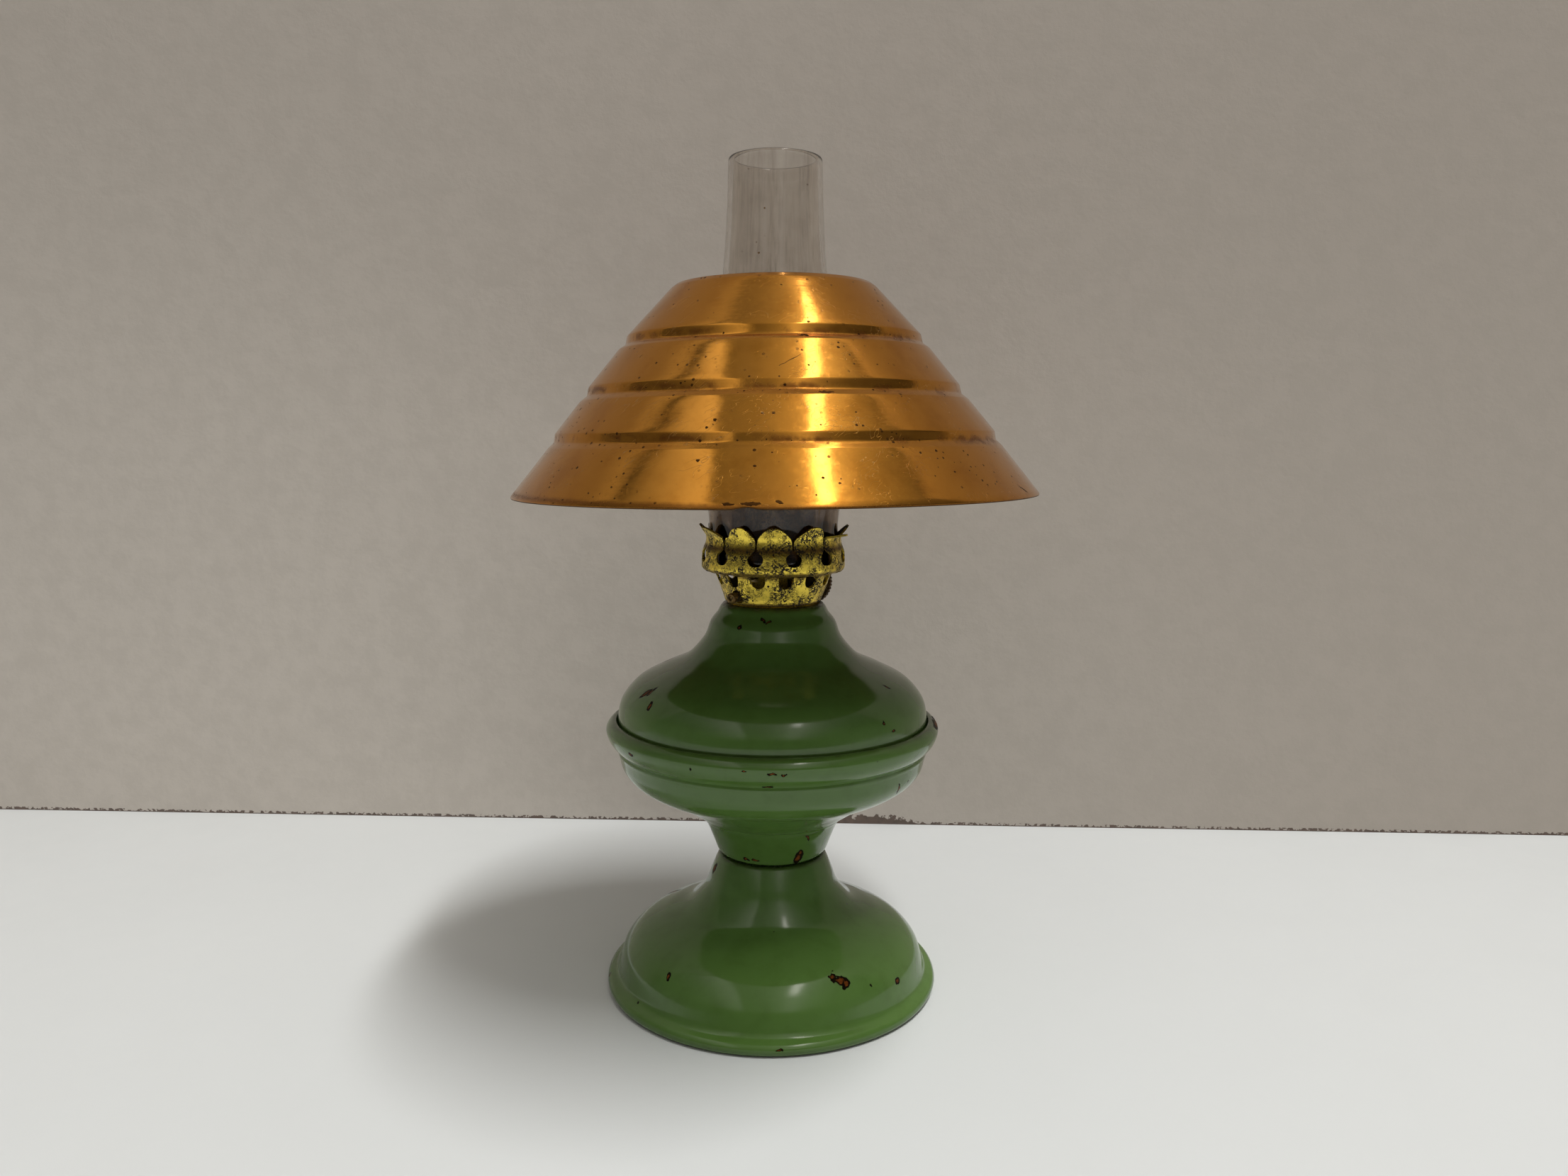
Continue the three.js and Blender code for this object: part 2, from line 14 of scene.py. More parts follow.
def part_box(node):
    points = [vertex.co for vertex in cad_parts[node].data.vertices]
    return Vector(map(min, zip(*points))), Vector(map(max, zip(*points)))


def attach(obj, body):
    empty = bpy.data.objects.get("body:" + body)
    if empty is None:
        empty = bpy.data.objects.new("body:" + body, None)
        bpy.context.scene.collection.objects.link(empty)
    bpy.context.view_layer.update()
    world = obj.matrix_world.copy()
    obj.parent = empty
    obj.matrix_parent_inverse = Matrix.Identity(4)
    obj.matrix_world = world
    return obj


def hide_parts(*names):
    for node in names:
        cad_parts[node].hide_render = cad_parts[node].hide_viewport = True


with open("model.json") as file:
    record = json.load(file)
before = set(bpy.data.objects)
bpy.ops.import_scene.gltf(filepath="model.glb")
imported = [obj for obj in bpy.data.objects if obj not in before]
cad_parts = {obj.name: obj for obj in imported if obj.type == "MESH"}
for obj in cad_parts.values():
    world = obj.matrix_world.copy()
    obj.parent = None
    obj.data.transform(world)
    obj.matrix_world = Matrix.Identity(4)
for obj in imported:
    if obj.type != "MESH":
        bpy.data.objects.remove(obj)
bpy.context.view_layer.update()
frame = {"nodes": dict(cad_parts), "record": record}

MM = 0.001
RECORD = frame["record"]
BODY_OF = {n: body for body, nodes in RECORD["behaviour"]["bodies"].items() for n in nodes}
draw = random.Random(7)


def bottom_and_top(node):
    """The lowest and highest place of a CAD node, in millimetres."""
    lowest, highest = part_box(node)
    return (lowest / MM).z, (highest / MM).z


def radius_of(node):
    """How far a CAD node reaches from the lamp's axis, in millimetres."""
    return (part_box(node)[1] / MM).x


# Driving dimensions

_, FOOT_TOP = bottom_and_top("foot")
RIM_R = radius_of("foot")
CUP_BOTTOM, CUP_TOP = bottom_and_top("stem_cup")
BOWL_FLOOR, BEAD_TOP = bottom_and_top("font_bowl")
BEAD_R = radius_of("font_bowl")
DOME_BOTTOM, NECK_TOP = bottom_and_top("font_dome")
SHOULDER_R = radius_of("font_dome")
COLLAR_BOTTOM, COLLAR_TOP = bottom_and_top("font_collar")
SKIRT_BOTTOM, DECK_TOP = bottom_and_top("burner_skirt")
DECK, BASKET_TOP = bottom_and_top("burner_basket")
BASKET_R = radius_of("burner_basket")
CROWN_BOTTOM, _ = bottom_and_top("gallery_crown")
_, PLATE_TOP = bottom_and_top("air_diffuser")
DEFLECTOR_BOTTOM, DEFLECTOR_TOP = bottom_and_top("deflector_dome")
WICK_BOTTOM, WICK_TOP = bottom_and_top("wick")
CHIMNEY_BOTTOM, CHIMNEY_TOP = bottom_and_top("chimney")
SHADE_BOTTOM, SHADE_TOP = bottom_and_top("shade")
SHADE_R = radius_of("shade")

FOOT_SHOULDER_Z = 5.6
FONT_SHOULDER_Z = 64.0
TIN = 0.8
BRASS_SHEET = 0.5
THIN_BRASS = 0.4
COPPER_SHEET = 0.6
GLASS_WALL = 1.1
RIVET_HOLE_R = 1.6
COLLAR_BORE_R = 9.45
NECK_BORE_R = 10.45
THREAD_PITCH = 1.6
THREAD_STEP = 0.16  # between the rows of points that draw the thread
THREAD_FADE = 0.8  # over which the thread runs out at either end
AIR_HOLES = 13
AIR_HOLE_R = 1.65
AIR_HOLE_TURN = -0.75
PRONGS = 12
PRONG_TURN = 1.4
DEFLECTOR_R = 9.3
SHAFT_Z = 90.7
SHAFT_R = 1.1
SHAFT_OFFSET = 2.4  # from the wick's middle plane to the shaft
SHAFT_TURN = 28.5
WHEEL_AT = 23.2
WHEEL_R = 5.7
SPUR_AT = 2.3
WICK_SIZE = (9.6, 1.2)
WICK_ROOM = (11.6, 3.1)  # the slot round the wick and its tube, in the floor and in the plate
FLAME_SLOT = (11.2, 3.2)
SHADE_TILT = 0.8
SHARP = 40  # an edge that turns further than this many degrees is drawn sharp


# Lines in the (radius, height) plane


def arc(centre, radius, start, end, steps):
    """Points on a circle, from one angle to another, counted anticlockwise from +r."""
    turns = [math.radians(start + (end - start) * i / steps) for i in range(steps + 1)]
    return [(centre[0] + radius * math.cos(t), centre[1] + radius * math.sin(t)) for t in turns]


def smooth(points, step=0.6):
    """A centripetal Catmull-Rom curve through the points."""
    points = [Vector(p) for p in points]
    ends = [2 * points[0] - points[1], *points, 2 * points[-1] - points[-2]]
    line = [tuple(points[0])]
    for a, b, c, d in zip(ends, ends[1:], ends[2:], ends[3:]):
        t1 = math.sqrt((b - a).length)
        t2 = t1 + math.sqrt((c - b).length)
        t3 = t2 + math.sqrt((d - c).length)
        count = max(1, round((c - b).length / step))
        for i in range(1, count + 1):
            t = t1 + (t2 - t1) * i / count
            ab = a.lerp(b, t / t1)
            bc = b.lerp(c, (t - t1) / (t2 - t1))
            cd = c.lerp(d, (t - t2) / (t3 - t2))
            abc = ab.lerp(bc, t / t2)
            bcd = bc.lerp(cd, (t - t1) / (t3 - t1))
            line.append(tuple(abc.lerp(bcd, (t - t1) / (t2 - t1))))
    return line


def divided(line, step):
    """The same line with no stretch longer than step."""
    made = [line[0]]
    for a, b in zip(line, line[1:]):
        count = max(1, math.ceil(math.dist(a, b) / step))
        made += [tuple(Vector(a).lerp(Vector(b), i / count)) for i in range(1, count + 1)]
    return made


def filleted(points, radius=0.4, step=1.5):
    """Straight stretches joined by small arcs, as in pressed sheet."""
    points = [Vector(p) for p in points]
    line = [points[0]]
    most = 0.45  # of a stretch that the arc at one of its ends may take
    for before, corner, after in zip(points, points[1:], points[2:]):
        into, out = corner - before, after - corner
        turn = into.angle(out)
        reach = min(radius * math.tan(turn / 2), into.length * most, out.length * most)
        start = corner - into.normalized() * reach
        end = corner + out.normalized() * reach
        steps = max(2, math.ceil(math.degrees(turn) / 12))
        for i in range(steps + 1):
            t = i / steps
            line.append(start.lerp(corner, t).lerp(corner.lerp(end, t), t))
    line.append(points[-1])
    return divided([tuple(p) for p in line], step)


def offset(line, distance):
    """The line moved sideways, to the left of its own direction."""
    points = [Vector(p) for p in line]
    sides = []
    for a, b in zip(points, points[1:]):
        along = (b - a).normalized()
        sides.append(Vector((-along.y, along.x)))
    moved = []
    for i, point in enumerate(points):
        before = sides[max(i - 1, 0)]
        after = sides[min(i, len(sides) - 1)]
        mitre = (before + after).normalized()
        moved.append(tuple(point + mitre * (distance / mitre.dot(after))))
    return moved


def half_round(a, b, steps=4):
    """The points between a and b on half a circle, to the right of the way from a to b."""
    a, b = Vector(a), Vector(b)
    centre = (a + b) / 2
    turns = [math.pi * i / steps for i in range(1, steps)]
    return [tuple(centre + Matrix.Rotation(t, 2) @ (a - centre)) for t in turns]


def sheet(outside, thickness):
    """The closed outline of a sheet with round edges. The outside line has the sheet on its left."""
    inside = offset(outside, thickness)
    top = half_round(outside[-1], inside[-1])
    bottom = half_round(inside[0], outside[0])
    return [*outside, *top, *reversed(inside), *bottom]


def radius_at(line, height):
    """The radius at which a line first passes a height."""
    for (r1, z1), (r2, z2) in zip(line, line[1:]):
        if min(z1, z2) <= height <= max(z1, z2) and z1 != z2:
            return r1 + (r2 - r1) * (height - z1) / (z2 - z1)
    raise ValueError(f"the line doesn't reach the height {height}")


# Shapes: vertices and faces


def around(radius, angle, height):
    """The place at an angle round the lamp, in degrees from the front."""
    turn = math.radians(angle)
    return Vector((radius * math.sin(turn), -radius * math.cos(turn), height))


def lathe(outline, sides=192):
    """A solid of revolution. The outline runs anticlockwise and closes on itself or on the axis."""
    vertices, rings = [], []
    for r, z in outline:
        first = len(vertices)
        if r < 1e-6:
            vertices.append(Vector((0, 0, z)))
            rings.append([first] * sides)
        else:
            vertices += [around(r, 360 * j / sides, z) for j in range(sides)]
            rings.append([first + j for j in range(sides)])
    faces = []
    for lower, upper in zip(rings, rings[1:] + rings[:1]):
        for j in range(sides):
            k = (j + 1) % sides
            face = tuple(dict.fromkeys((lower[j], lower[k], upper[k], upper[j])))
            if len(face) > 2:
                faces.append(face)
    return vertices, faces


def warped(shape, move):
    """The same shape with each vertex moved by a function of its place."""
    vertices, faces = shape
    return [move(v) for v in vertices], faces


def rows_crossed(loops, y):
    """The stretches of a level line that lie inside the loops, as pairs of x."""
    crossings = []
    for loop in loops:
        for (x1, y1), (x2, y2) in zip(loop, loop[1:] + loop[:1]):
            if (y1 > y) != (y2 > y):
                crossings.append(x1 + (y - y1) * (x2 - x1) / (y2 - y1))
    crossings.sort()
    return list(zip(crossings[::2], crossings[1::2]))


def flat_mesh(loops, spacing):
    """Triangles that fill the first loop outside the other loops, with points spacing apart."""
    points, edges = [], []
    for loop in loops:
        first, count = len(points), len(loop)
        points += [Vector(p) for p in loop]
        edges += [(first + i, first + (i + 1) % count) for i in range(count)]
    bottom = min(p.y for p in points)
    top = max(p.y for p in points)
    rows = math.ceil((top - bottom) / (spacing * 0.87))  # nearly even triangles
    margin = spacing * 0.6  # kept free of points beside an edge
    for row in range(1, rows):
        y = bottom + (top - bottom) * row / rows
        shift = spacing / 2 * (row % 2)
        for left, right in rows_crossed(loops, y):
            first = math.ceil((left + margin - shift) / spacing)
            last = math.floor((right - margin - shift) / spacing)
            points += [Vector((shift + i * spacing, y)) for i in range(first, last + 1)]
    found, _, triangles, *_ = delaunay_2d_cdt(points, edges, [], 2, 1e-5)
    kept = []
    for triangle in triangles:
        corners = [found[i] for i in triangle]
        middle = sum(corners, Vector((0, 0))) / len(corners)
        if any(left < middle.x < right for left, right in rows_crossed(loops, middle.y)):
            kept.append(tuple(triangle))
    return found, kept


def pressed(loops, spacing, bend, thickness):
    """A sheet cut to the flat loops, bent by a function of the flat place, with a real thickness."""
    flat, triangles = flat_mesh(loops, spacing)
    nudge = 0.02
    places, fronts, backs, index_of = [], [], [], {}
    for point in flat:
        place = bend(point.x, point.y)
        key = tuple(round(value, 3) for value in place)
        if key not in index_of:
            across = bend(point.x + nudge, point.y) - place
            along = bend(point.x, point.y + nudge) - place
            index_of[key] = len(fronts)
            fronts.append(place)
            backs.append(place - across.cross(along).normalized() * thickness)
        places.append(index_of[key])
    triangles = [tuple(places[i] for i in triangle) for triangle in triangles]
    triangles = [t for t in triangles if len(set(t)) == 3]
    count = len(fronts)
    faces = list(triangles)
    faces += [tuple(count + i for i in reversed(triangle)) for triangle in triangles]
    edges = {(t[i], t[(i + 1) % 3]) for t in triangles for i in range(3)}
    faces += [(b, a, count + a, count + b) for a, b in sorted(edges) if (b, a) not in edges]
    return fronts + backs, faces


def circle(centre, radius, steps):
    return arc(centre, radius, 0, 360 * (1 - 1 / steps), steps - 1)


def stadium(width, thickness, steps=16):
    """A flat loop with round ends, anticlockwise, its width along X."""
    half = (width - thickness) / 2
    right = arc((half, 0), thickness / 2, -90, 90, steps)
    left = arc((-half, 0), thickness / 2, 90, 270, steps)
    return [*right, *left]


def prism(loop, bottom, top):
    count = len(loop)
    vertices = [Vector((x, y, z)) for z in (bottom, top) for x, y in loop]
    faces = [tuple(reversed(range(count))), tuple(range(count, 2 * count))]
    for i in range(count):
        k = (i + 1) % count
        faces.append((i, k, count + k, count + i))
    return vertices, faces


# The shaft's frame: X is away from the wick's middle plane, Y is up, Z is along the shaft.
ALONG_SHAFT = Vector((math.sin(math.radians(SHAFT_TURN)), math.cos(math.radians(SHAFT_TURN)), 0))
FROM_WICK = Vector((-ALONG_SHAFT.y, ALONG_SHAFT.x, 0))


def on_shaft(shape):
    """A shape made about Z, laid on the winder's shaft."""
    centre = Vector((0, 0, SHAFT_Z)) + FROM_WICK * SHAFT_OFFSET
    up = Vector((0, 0, 1))
    return warped(shape, lambda v: centre + FROM_WICK * v.x + up * v.y + ALONG_SHAFT * v.z)


def along_wick(shape):
    """A shape drawn with its width along X, turned so that the width lies along the shaft."""
    turn = Matrix.Rotation(math.radians(90 - SHAFT_TURN), 3, "Z")
    return warped(shape, lambda v: turn @ v)


def in_mesh(name, shape, crease):
    vertices, faces = shape
    mesh = bpy.data.meshes.new(name)
    mesh.from_pydata([v * MM for v in vertices], [], faces)
    mesh.shade_smooth()
    mesh.set_sharp_from_angle(angle=math.radians(crease))
    return mesh


def piece(name, shape, material, node, crease=SHARP):
    """A shape as an object that stands for a CAD node and moves with its body."""
    mesh = in_mesh(name, shape, crease)
    mesh.materials.append(material)
    made = bpy.data.objects.new(name, mesh)
    bpy.context.scene.collection.objects.link(made)
    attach(made, BODY_OF[node])
    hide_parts(node)
    return made


def cut(made, shape):
    """Cuts a closed shape out of a piece."""
    tool = bpy.data.objects.new("cutter", in_mesh("cutter", shape, SHARP))
    bpy.context.scene.collection.objects.link(tool)
    modifier = made.modifiers.new("cut", "BOOLEAN")
    modifier.operation = "DIFFERENCE"
    modifier.solver = "EXACT"
    modifier.object = tool
    depsgraph = bpy.context.evaluated_depsgraph_get()
    mesh = bpy.data.meshes.new_from_object(made.evaluated_get(depsgraph))
    made.modifiers.clear()
    made.data = mesh
    bpy.data.objects.remove(tool)
    mesh.shade_smooth()
    mesh.set_sharp_from_angle(angle=math.radians(SHARP))


# Material graphs


class Graph:
    """The nodes of a material or of the world. Each method adds a node and returns its output."""

    def __init__(self, owner, coordinates="Object", unit=MM):
        owner.use_nodes = True
        self.owner = owner
        self.tree = owner.node_tree
        self.tree.nodes.clear()
        self.place = self.scaled(self.node("ShaderNodeTexCoord", {}, coordinates), (1 / unit,) * 3)
        self.x, self.y, self.z = self.split(self.place)

    def node(self, kind, inputs, output=0, **settings):
        made = self.tree.nodes.new(kind)
        for key, value in settings.items():
            setattr(made, key, value)
        for key, value in inputs.items():
            if isinstance(value, bpy.types.NodeSocket):
                self.tree.links.new(value, made.inputs[key])
            else:
                made.inputs[key].default_value = value
        return made.outputs[output] if made.outputs else None

    def split(self, whole, kind="ShaderNodeSeparateXYZ"):
        """The three numbers of a vector or a colour."""
        made = self.tree.nodes.new(kind)
        self.tree.links.new(whole, made.inputs[0])
        return made.outputs

    def math(self, operation, a, b=0.0, clamp=False):
        return self.node("ShaderNodeMath", {0: a, 1: b}, operation=operation, use_clamp=clamp)

    def add(self, a, b):
        return self.math("ADD", a, b)

    def times(self, a, b):
        return self.math("MULTIPLY", a, b)

    def less(self, a, b, clamp=False):
        return self.math("SUBTRACT", a, b, clamp)

    def most(self, *values):
        result = values[0]
        for value in values[1:]:
            result = self.math("MAXIMUM", result, value)
        return result

    def remap(self, value, start, end, low=0.0, high=1.0):
        """From low to high in a soft step while the value goes from start to end."""
        inputs = {0: value, 1: start, 2: end, 3: low, 4: high}
        if start > end:
            inputs.update({1: end, 2: start, 3: high, 4: low})
        return self.node("ShaderNodeMapRange", inputs, interpolation_type="SMOOTHSTEP")

    def mix(self, mask, a, b):
        """Colour a where the mask is 0 and colour b where it is 1."""
        inputs = {0: mask}
        for key, value in ((6, a), (7, b)):
            inputs[key] = value if isinstance(value, bpy.types.NodeSocket) else (*value, 1)
        return self.node("ShaderNodeMix", inputs, 2, data_type="RGBA")

    def vector(self, operation, a, b=(0, 0, 0), output=0):
        return self.node("ShaderNodeVectorMath", {0: a, 1: b}, output, operation=operation)

    def scaled(self, vector, scale):
        return self.vector("MULTIPLY", vector, scale)

    def outwards(self):
        """The surface's normal in the lamp's own frame."""
        return self.node("ShaderNodeTexCoord", {}, "Normal")

    def noise(self, size, detail=2.0, roughness=0.5, at=None):
        """Noise from 0 to 1 with features about size millimetres across."""
        inputs = {"Vector": at or self.place, "Scale": 1 / size, "Detail": detail, "Roughness": roughness}
        return self.node("ShaderNodeTexNoise", inputs)

    def jittered(self, size, amount):
        """The place, moved about by up to amount millimetres."""
        inputs = {"Vector": self.place, "Scale": 1 / size, "Detail": 3.0}
        colour = self.node("ShaderNodeTexNoise", inputs, 1)
        moved = self.scaled(self.vector("SUBTRACT", colour, (0.5,) * 3), (2 * amount,) * 3)
        return self.vector("ADD", self.place, moved)

    def veins(self, size, width, at=None, detail=3.0):
        """Thin wandering lines: 1 on a line, 0 away from it."""
        level = self.noise(size, detail, 0.6, at)
        gap = self.math("ABSOLUTE", self.less(level, 0.5))
        return self.remap(gap, width, width * 0.3)

    def specks(self, size, share, reach=0.3):
        """Dots of up to reach cells in radius, in a share of cells size millimetres across."""
        cells = self.tree.nodes.new("ShaderNodeTexVoronoi")
        cells.inputs["Scale"].default_value = 1 / size
        self.tree.links.new(self.jittered(size * 0.3, size * 0.12), cells.inputs["Vector"])
        rank, bulk, _ = self.split(cells.outputs["Color"], "ShaderNodeSeparateColor")
        chosen = self.math("LESS_THAN", rank, share)
        dot = self.math("LESS_THAN", cells.outputs["Distance"], self.times(bulk, reach))
        return self.times(chosen, dot)

    def band(self, height, half, ragged=0.0, size=3.0):
        """1 at a height, falling to 0 at half millimetres above and below it."""
        level = self.z
        if ragged:
            level = self.add(level, self.times(self.less(self.noise(size, 3), 0.5), 2 * ragged))
        gap = self.math("ABSOLUTE", self.less(level, height))
        return self.remap(gap, half, 0)

    def spots(self, line, places, jitter=0.7, size=1.2):
        """How far the nearest of some spots on a surface is: 0 at its middle, 1 at its edge."""
        nearest = 9.0
        ragged = self.jittered(size, jitter)
        for angle, height, wide, tall, slant in places:
            centre = around(radius_at(line, height), angle, height)
            turn = (0, math.radians(slant), math.radians(angle))
            inputs = {"Vector": ragged, "Location": centre, "Rotation": turn, "Scale": (wide, 4.0, tall)}
            local = self.node("ShaderNodeMapping", inputs, vector_type="TEXTURE")
            nearest = self.math("MINIMUM", nearest, self.vector("LENGTH", local, output=1))
        return nearest

    def bump(self, height, distance, under=None):
        """A normal for a height map whose full step is distance millimetres."""
        inputs = {"Height": height, "Distance": distance * MM, "Strength": 1.0}
        if under is not None:
            inputs["Normal"] = under
        return self.node("ShaderNodeBump", inputs)

    def surface(self, colour, roughness, normal, metallic=0.0, more=()):
        """Joins the inputs to a Principled shader and returns the material."""
        inputs = {"Base Color": colour, "Roughness": roughness, "Normal": normal, "Metallic": metallic}
        shader = self.node("ShaderNodeBsdfPrincipled", {**inputs, **dict(more)})
        self.node("ShaderNodeOutputMaterial", {"Surface": shader})
        return self.owner


def material_graph(name):
    return Graph(bpy.data.materials.new(name))


# Materials


def enamel(name, line, chips, grime_and_shade):
    """Glossy green paint on tin, with chips down to brown metal and dark bands along some heights: grime in
    grooves and painted shade at joints.

    A chip is (angle, height, half width, half height, slant); a band is (height, reach, strength).
    """
    g = material_graph(name)
    tone = g.noise(24, 3)
    paint = g.mix(tone, (0.068, 0.138, 0.026), (0.086, 0.168, 0.038))
    blotches = g.remap(g.noise(5, 4, 0.6), 0.42, 0.75)
    paint = g.mix(g.times(blotches, 0.3), paint, (0.044, 0.092, 0.012))
    dirt_and_shade = 0.0
    # Grime and painted shade: each band darkens the paint along its height.
    for height, reach, strength in grime_and_shade:
        ring = g.times(g.band(height, reach, ragged=reach * 0.35), strength)
        dirt_and_shade = g.most(dirt_and_shade, ring)
    patchy = g.remap(g.noise(4, 4, 0.65), 0.25, 0.7, 0.35, 1.0)
    dirt_and_shade = g.times(dirt_and_shade, patchy)
    paint = g.mix(dirt_and_shade, paint, (0.022, 0.017, 0.006))
    distance = g.spots(line, chips)
    chip = g.remap(distance, 1.3, 1.15)
    bare = g.remap(distance, 0.75, 0.35)
    dots = g.specks(4.2, 0.22, 0.09)
    rust = g.mix(g.noise(0.5, 3), (0.07, 0.022, 0.006), (0.36, 0.11, 0.022))
    metal = g.mix(bare, (0.012, 0.008, 0.004), rust)
    worn = g.most(chip, dots)
    colour = g.mix(worn, paint, metal)
    gloss = g.remap(g.noise(2.2, 4, 0.6), 0.3, 0.8, 0.10, 0.17)
    gloss = g.add(gloss, g.times(dirt_and_shade, 0.25))
    roughness = g.add(gloss, g.times(worn, 0.45))
    wavy = g.bump(g.noise(9, 1.5), 0.03)
    peel = g.bump(g.noise(0.7, 2), 0.002, wavy)
    normal = g.bump(worn, -0.03, peel)
    return g.surface(colour, roughness, normal, worn)


def pitted_brass(name, bright=(0.92, 0.70, 0.10), tarnish=0.5, pits=1.0, tarnish_and_shade_bands=()):
    """Yellow brass with black squiggles and pits, red-brown tarnish, bands of tarnish and painted shade at
    some heights, and painted shade on inner faces.
    """
    g = material_graph(name)
    tone = g.noise(6, 3)
    metal = g.mix(tone, tuple(v * 0.82 for v in bright), bright)
    stain = g.remap(g.noise(2.6, 4, 0.65), 0.72 - 0.3 * tarnish, 0.9 - 0.25 * tarnish)
    # Bands of red-brown tarnish and painted shade along the given heights.
    for height, reach, strength in tarnish_and_shade_bands:
        stain = g.most(stain, g.times(g.band(height, reach, ragged=0.45, size=1.4), strength))
    metal = g.mix(g.times(stain, 0.9), metal, (0.16, 0.075, 0.02))
    patches = g.remap(g.noise(3.2, 3, 0.6), 0.43, 0.555)
    squiggles = g.times(g.veins(0.9, 0.10, detail=2.0), patches)
    fine = g.times(g.veins(0.4, 0.07, detail=1.0), g.remap(g.noise(1.7, 2), 0.45, 0.57))
    dots = g.specks(1.1, 0.34, 0.3)
    # Painted shade: faces that look towards the lamp's axis are darkened nearly to black.
    facing = g.vector("DOT_PRODUCT", g.scaled(g.place, (1, 1, 0)), g.outwards(), output=1)
    inner = g.remap(facing, -1.0, -5.0)
    black = g.times(g.most(squiggles, g.times(fine, 0.8), dots), pits)
    black = g.most(black, g.times(inner, 0.9))
    colour = g.mix(black, metal, (0.012, 0.007, 0.003))
    metallic = g.remap(g.most(black, g.times(stain, 0.6)), 0, 1, 1.0, 0.35)
    roughness = g.add(g.remap(g.noise(1.2, 4), 0.3, 0.75, 0.24, 0.38), g.times(black, 0.35))
    roughness = g.add(roughness, g.times(stain, 0.16))
    wavy = g.bump(g.noise(2.4, 2), 0.05)
    normal = g.bump(black, -0.05, wavy)
    return g.surface(colour, roughness, normal, metallic)


def stained_brass():
    """The deflector: brass browned by heat in broad clouds."""
    g = material_graph("heat_stained_brass")
    clouds = g.remap(g.noise(7, 4, 0.6), 0.3, 0.7)
    metal = g.mix(clouds, (0.78, 0.48, 0.13), (0.34, 0.16, 0.045))
    sooty = g.remap(g.z, DEFLECTOR_TOP - 6, DEFLECTOR_TOP)
    metal = g.mix(g.times(sooty, 0.75), metal, (0.03, 0.022, 0.016))
    specks = g.veins(0.9, 0.05)
    metal = g.mix(g.times(specks, 0.6), metal, (0.03, 0.02, 0.012))
    roughness = g.remap(g.noise(2, 4), 0.3, 0.7, 0.38, 0.6)
    normal = g.bump(g.noise(1.2, 3), 0.04)
    return g.surface(metal, roughness, normal, 0.85)


def blackened_brass():
    g = material_graph("blackened_brass")
    clouds = g.remap(g.noise(2.5, 4, 0.6), 0.35, 0.7)
    metal = g.mix(clouds, (0.085, 0.045, 0.022), (0.035, 0.02, 0.012))
    rubbed = g.veins(1.1, 0.04)
    metal = g.mix(g.times(rubbed, 0.5), metal, (0.25, 0.16, 0.06))
    roughness = g.remap(g.noise(1, 3), 0.3, 0.7, 0.34, 0.55)
    normal = g.bump(g.noise(0.8, 3), 0.05)
    return g.surface(metal, roughness, normal, 0.7)


def dull_steel():
    g = material_graph("dull_steel")
    metal = g.mix(g.noise(1.5, 4), (0.30, 0.28, 0.25), (0.52, 0.49, 0.44))
    rust = g.remap(g.noise(1.1, 3, 0.7), 0.5, 0.68)
    metal = g.mix(rust, metal, (0.16, 0.06, 0.03))
    roughness = g.remap(g.noise(0.8, 3), 0.3, 0.7, 0.38, 0.65)
    normal = g.bump(g.noise(0.5, 3), 0.04)
    return g.surface(metal, roughness, normal, 0.85)


def copper(line, steps):
    """Satin copper with dark pits, scratches, and tarnish at the steps; painted shade where it faces down."""
    g = material_graph("satin_copper")
    tone = g.noise(22, 3)
    metal = g.mix(tone, (0.58, 0.250, 0.036), (0.66, 0.290, 0.045))
    bloom = g.remap(g.noise(9, 5, 0.62), 0.45, 0.72)
    metal = g.mix(g.times(bloom, 0.55), metal, (0.46, 0.18, 0.022))
    stain = 0.0
    for height in steps:
        ring = g.band(height, 1.3, ragged=0.7, size=5.0)
        stain = g.most(stain, g.times(ring, g.remap(g.noise(7, 4, 0.65), 0.44, 0.62)))
    edge = g.times(g.band(SHADE_BOTTOM, 0.9, ragged=0.3, size=1.5), 0.8)
    stain = g.most(stain, edge)
    metal = g.mix(g.times(stain, 0.75), metal, (0.16, 0.05, 0.014))
    patch = g.remap(g.noise(11, 3, 0.6), 0.44, 0.56)
    pits = g.times(g.specks(1.1, 0.45, 0.3), patch)
    lone = g.specks(5.0, 0.4, 0.08)
    nicks = g.remap(g.spots(line, SHADE_MARKS, 0.35, 0.8), 1.05, 0.9)
    scratches = g.times(scratch_field(g), 0.6)
    dark = g.most(pits, lone, nicks)
    metal = g.mix(g.times(dark, 0.9), metal, (0.035, 0.014, 0.006))
    metal = g.mix(scratches, metal, (0.62, 0.36, 0.14))
    gloss = g.remap(g.noise(3.5, 5, 0.65), 0.3, 0.75, 0.09, 0.17)
    gloss = g.add(gloss, g.times(stain, 0.2))
    gloss = g.add(gloss, g.remap(g.noise(1.1, 4, 0.7), 0.5, 0.8, 0, 0.12))
    # Painted shade on the faces that look downwards, inside the shade.
    upwards = g.split(g.outwards())[2]
    inner = g.remap(upwards, -0.05, -0.25)
    metal = g.mix(inner, metal, (0.10, 0.045, 0.014))
    gloss = g.add(gloss, g.times(inner, 0.3))
    roughness = g.add(gloss, g.times(dark, 0.4))
    spun = g.noise(1.0, 1, at=g.scaled(g.place, (0.03, 0.03, 2.2)))
    wavy = g.bump(g.noise(1.3, 3), 0.005, g.bump(g.noise(16, 2), 0.14))
    lines = g.bump(spun, 0.004, wavy)
    normal = g.bump(g.most(dark, scratches), -0.03, lines)
    return g.surface(metal, roughness, normal, 1.0)


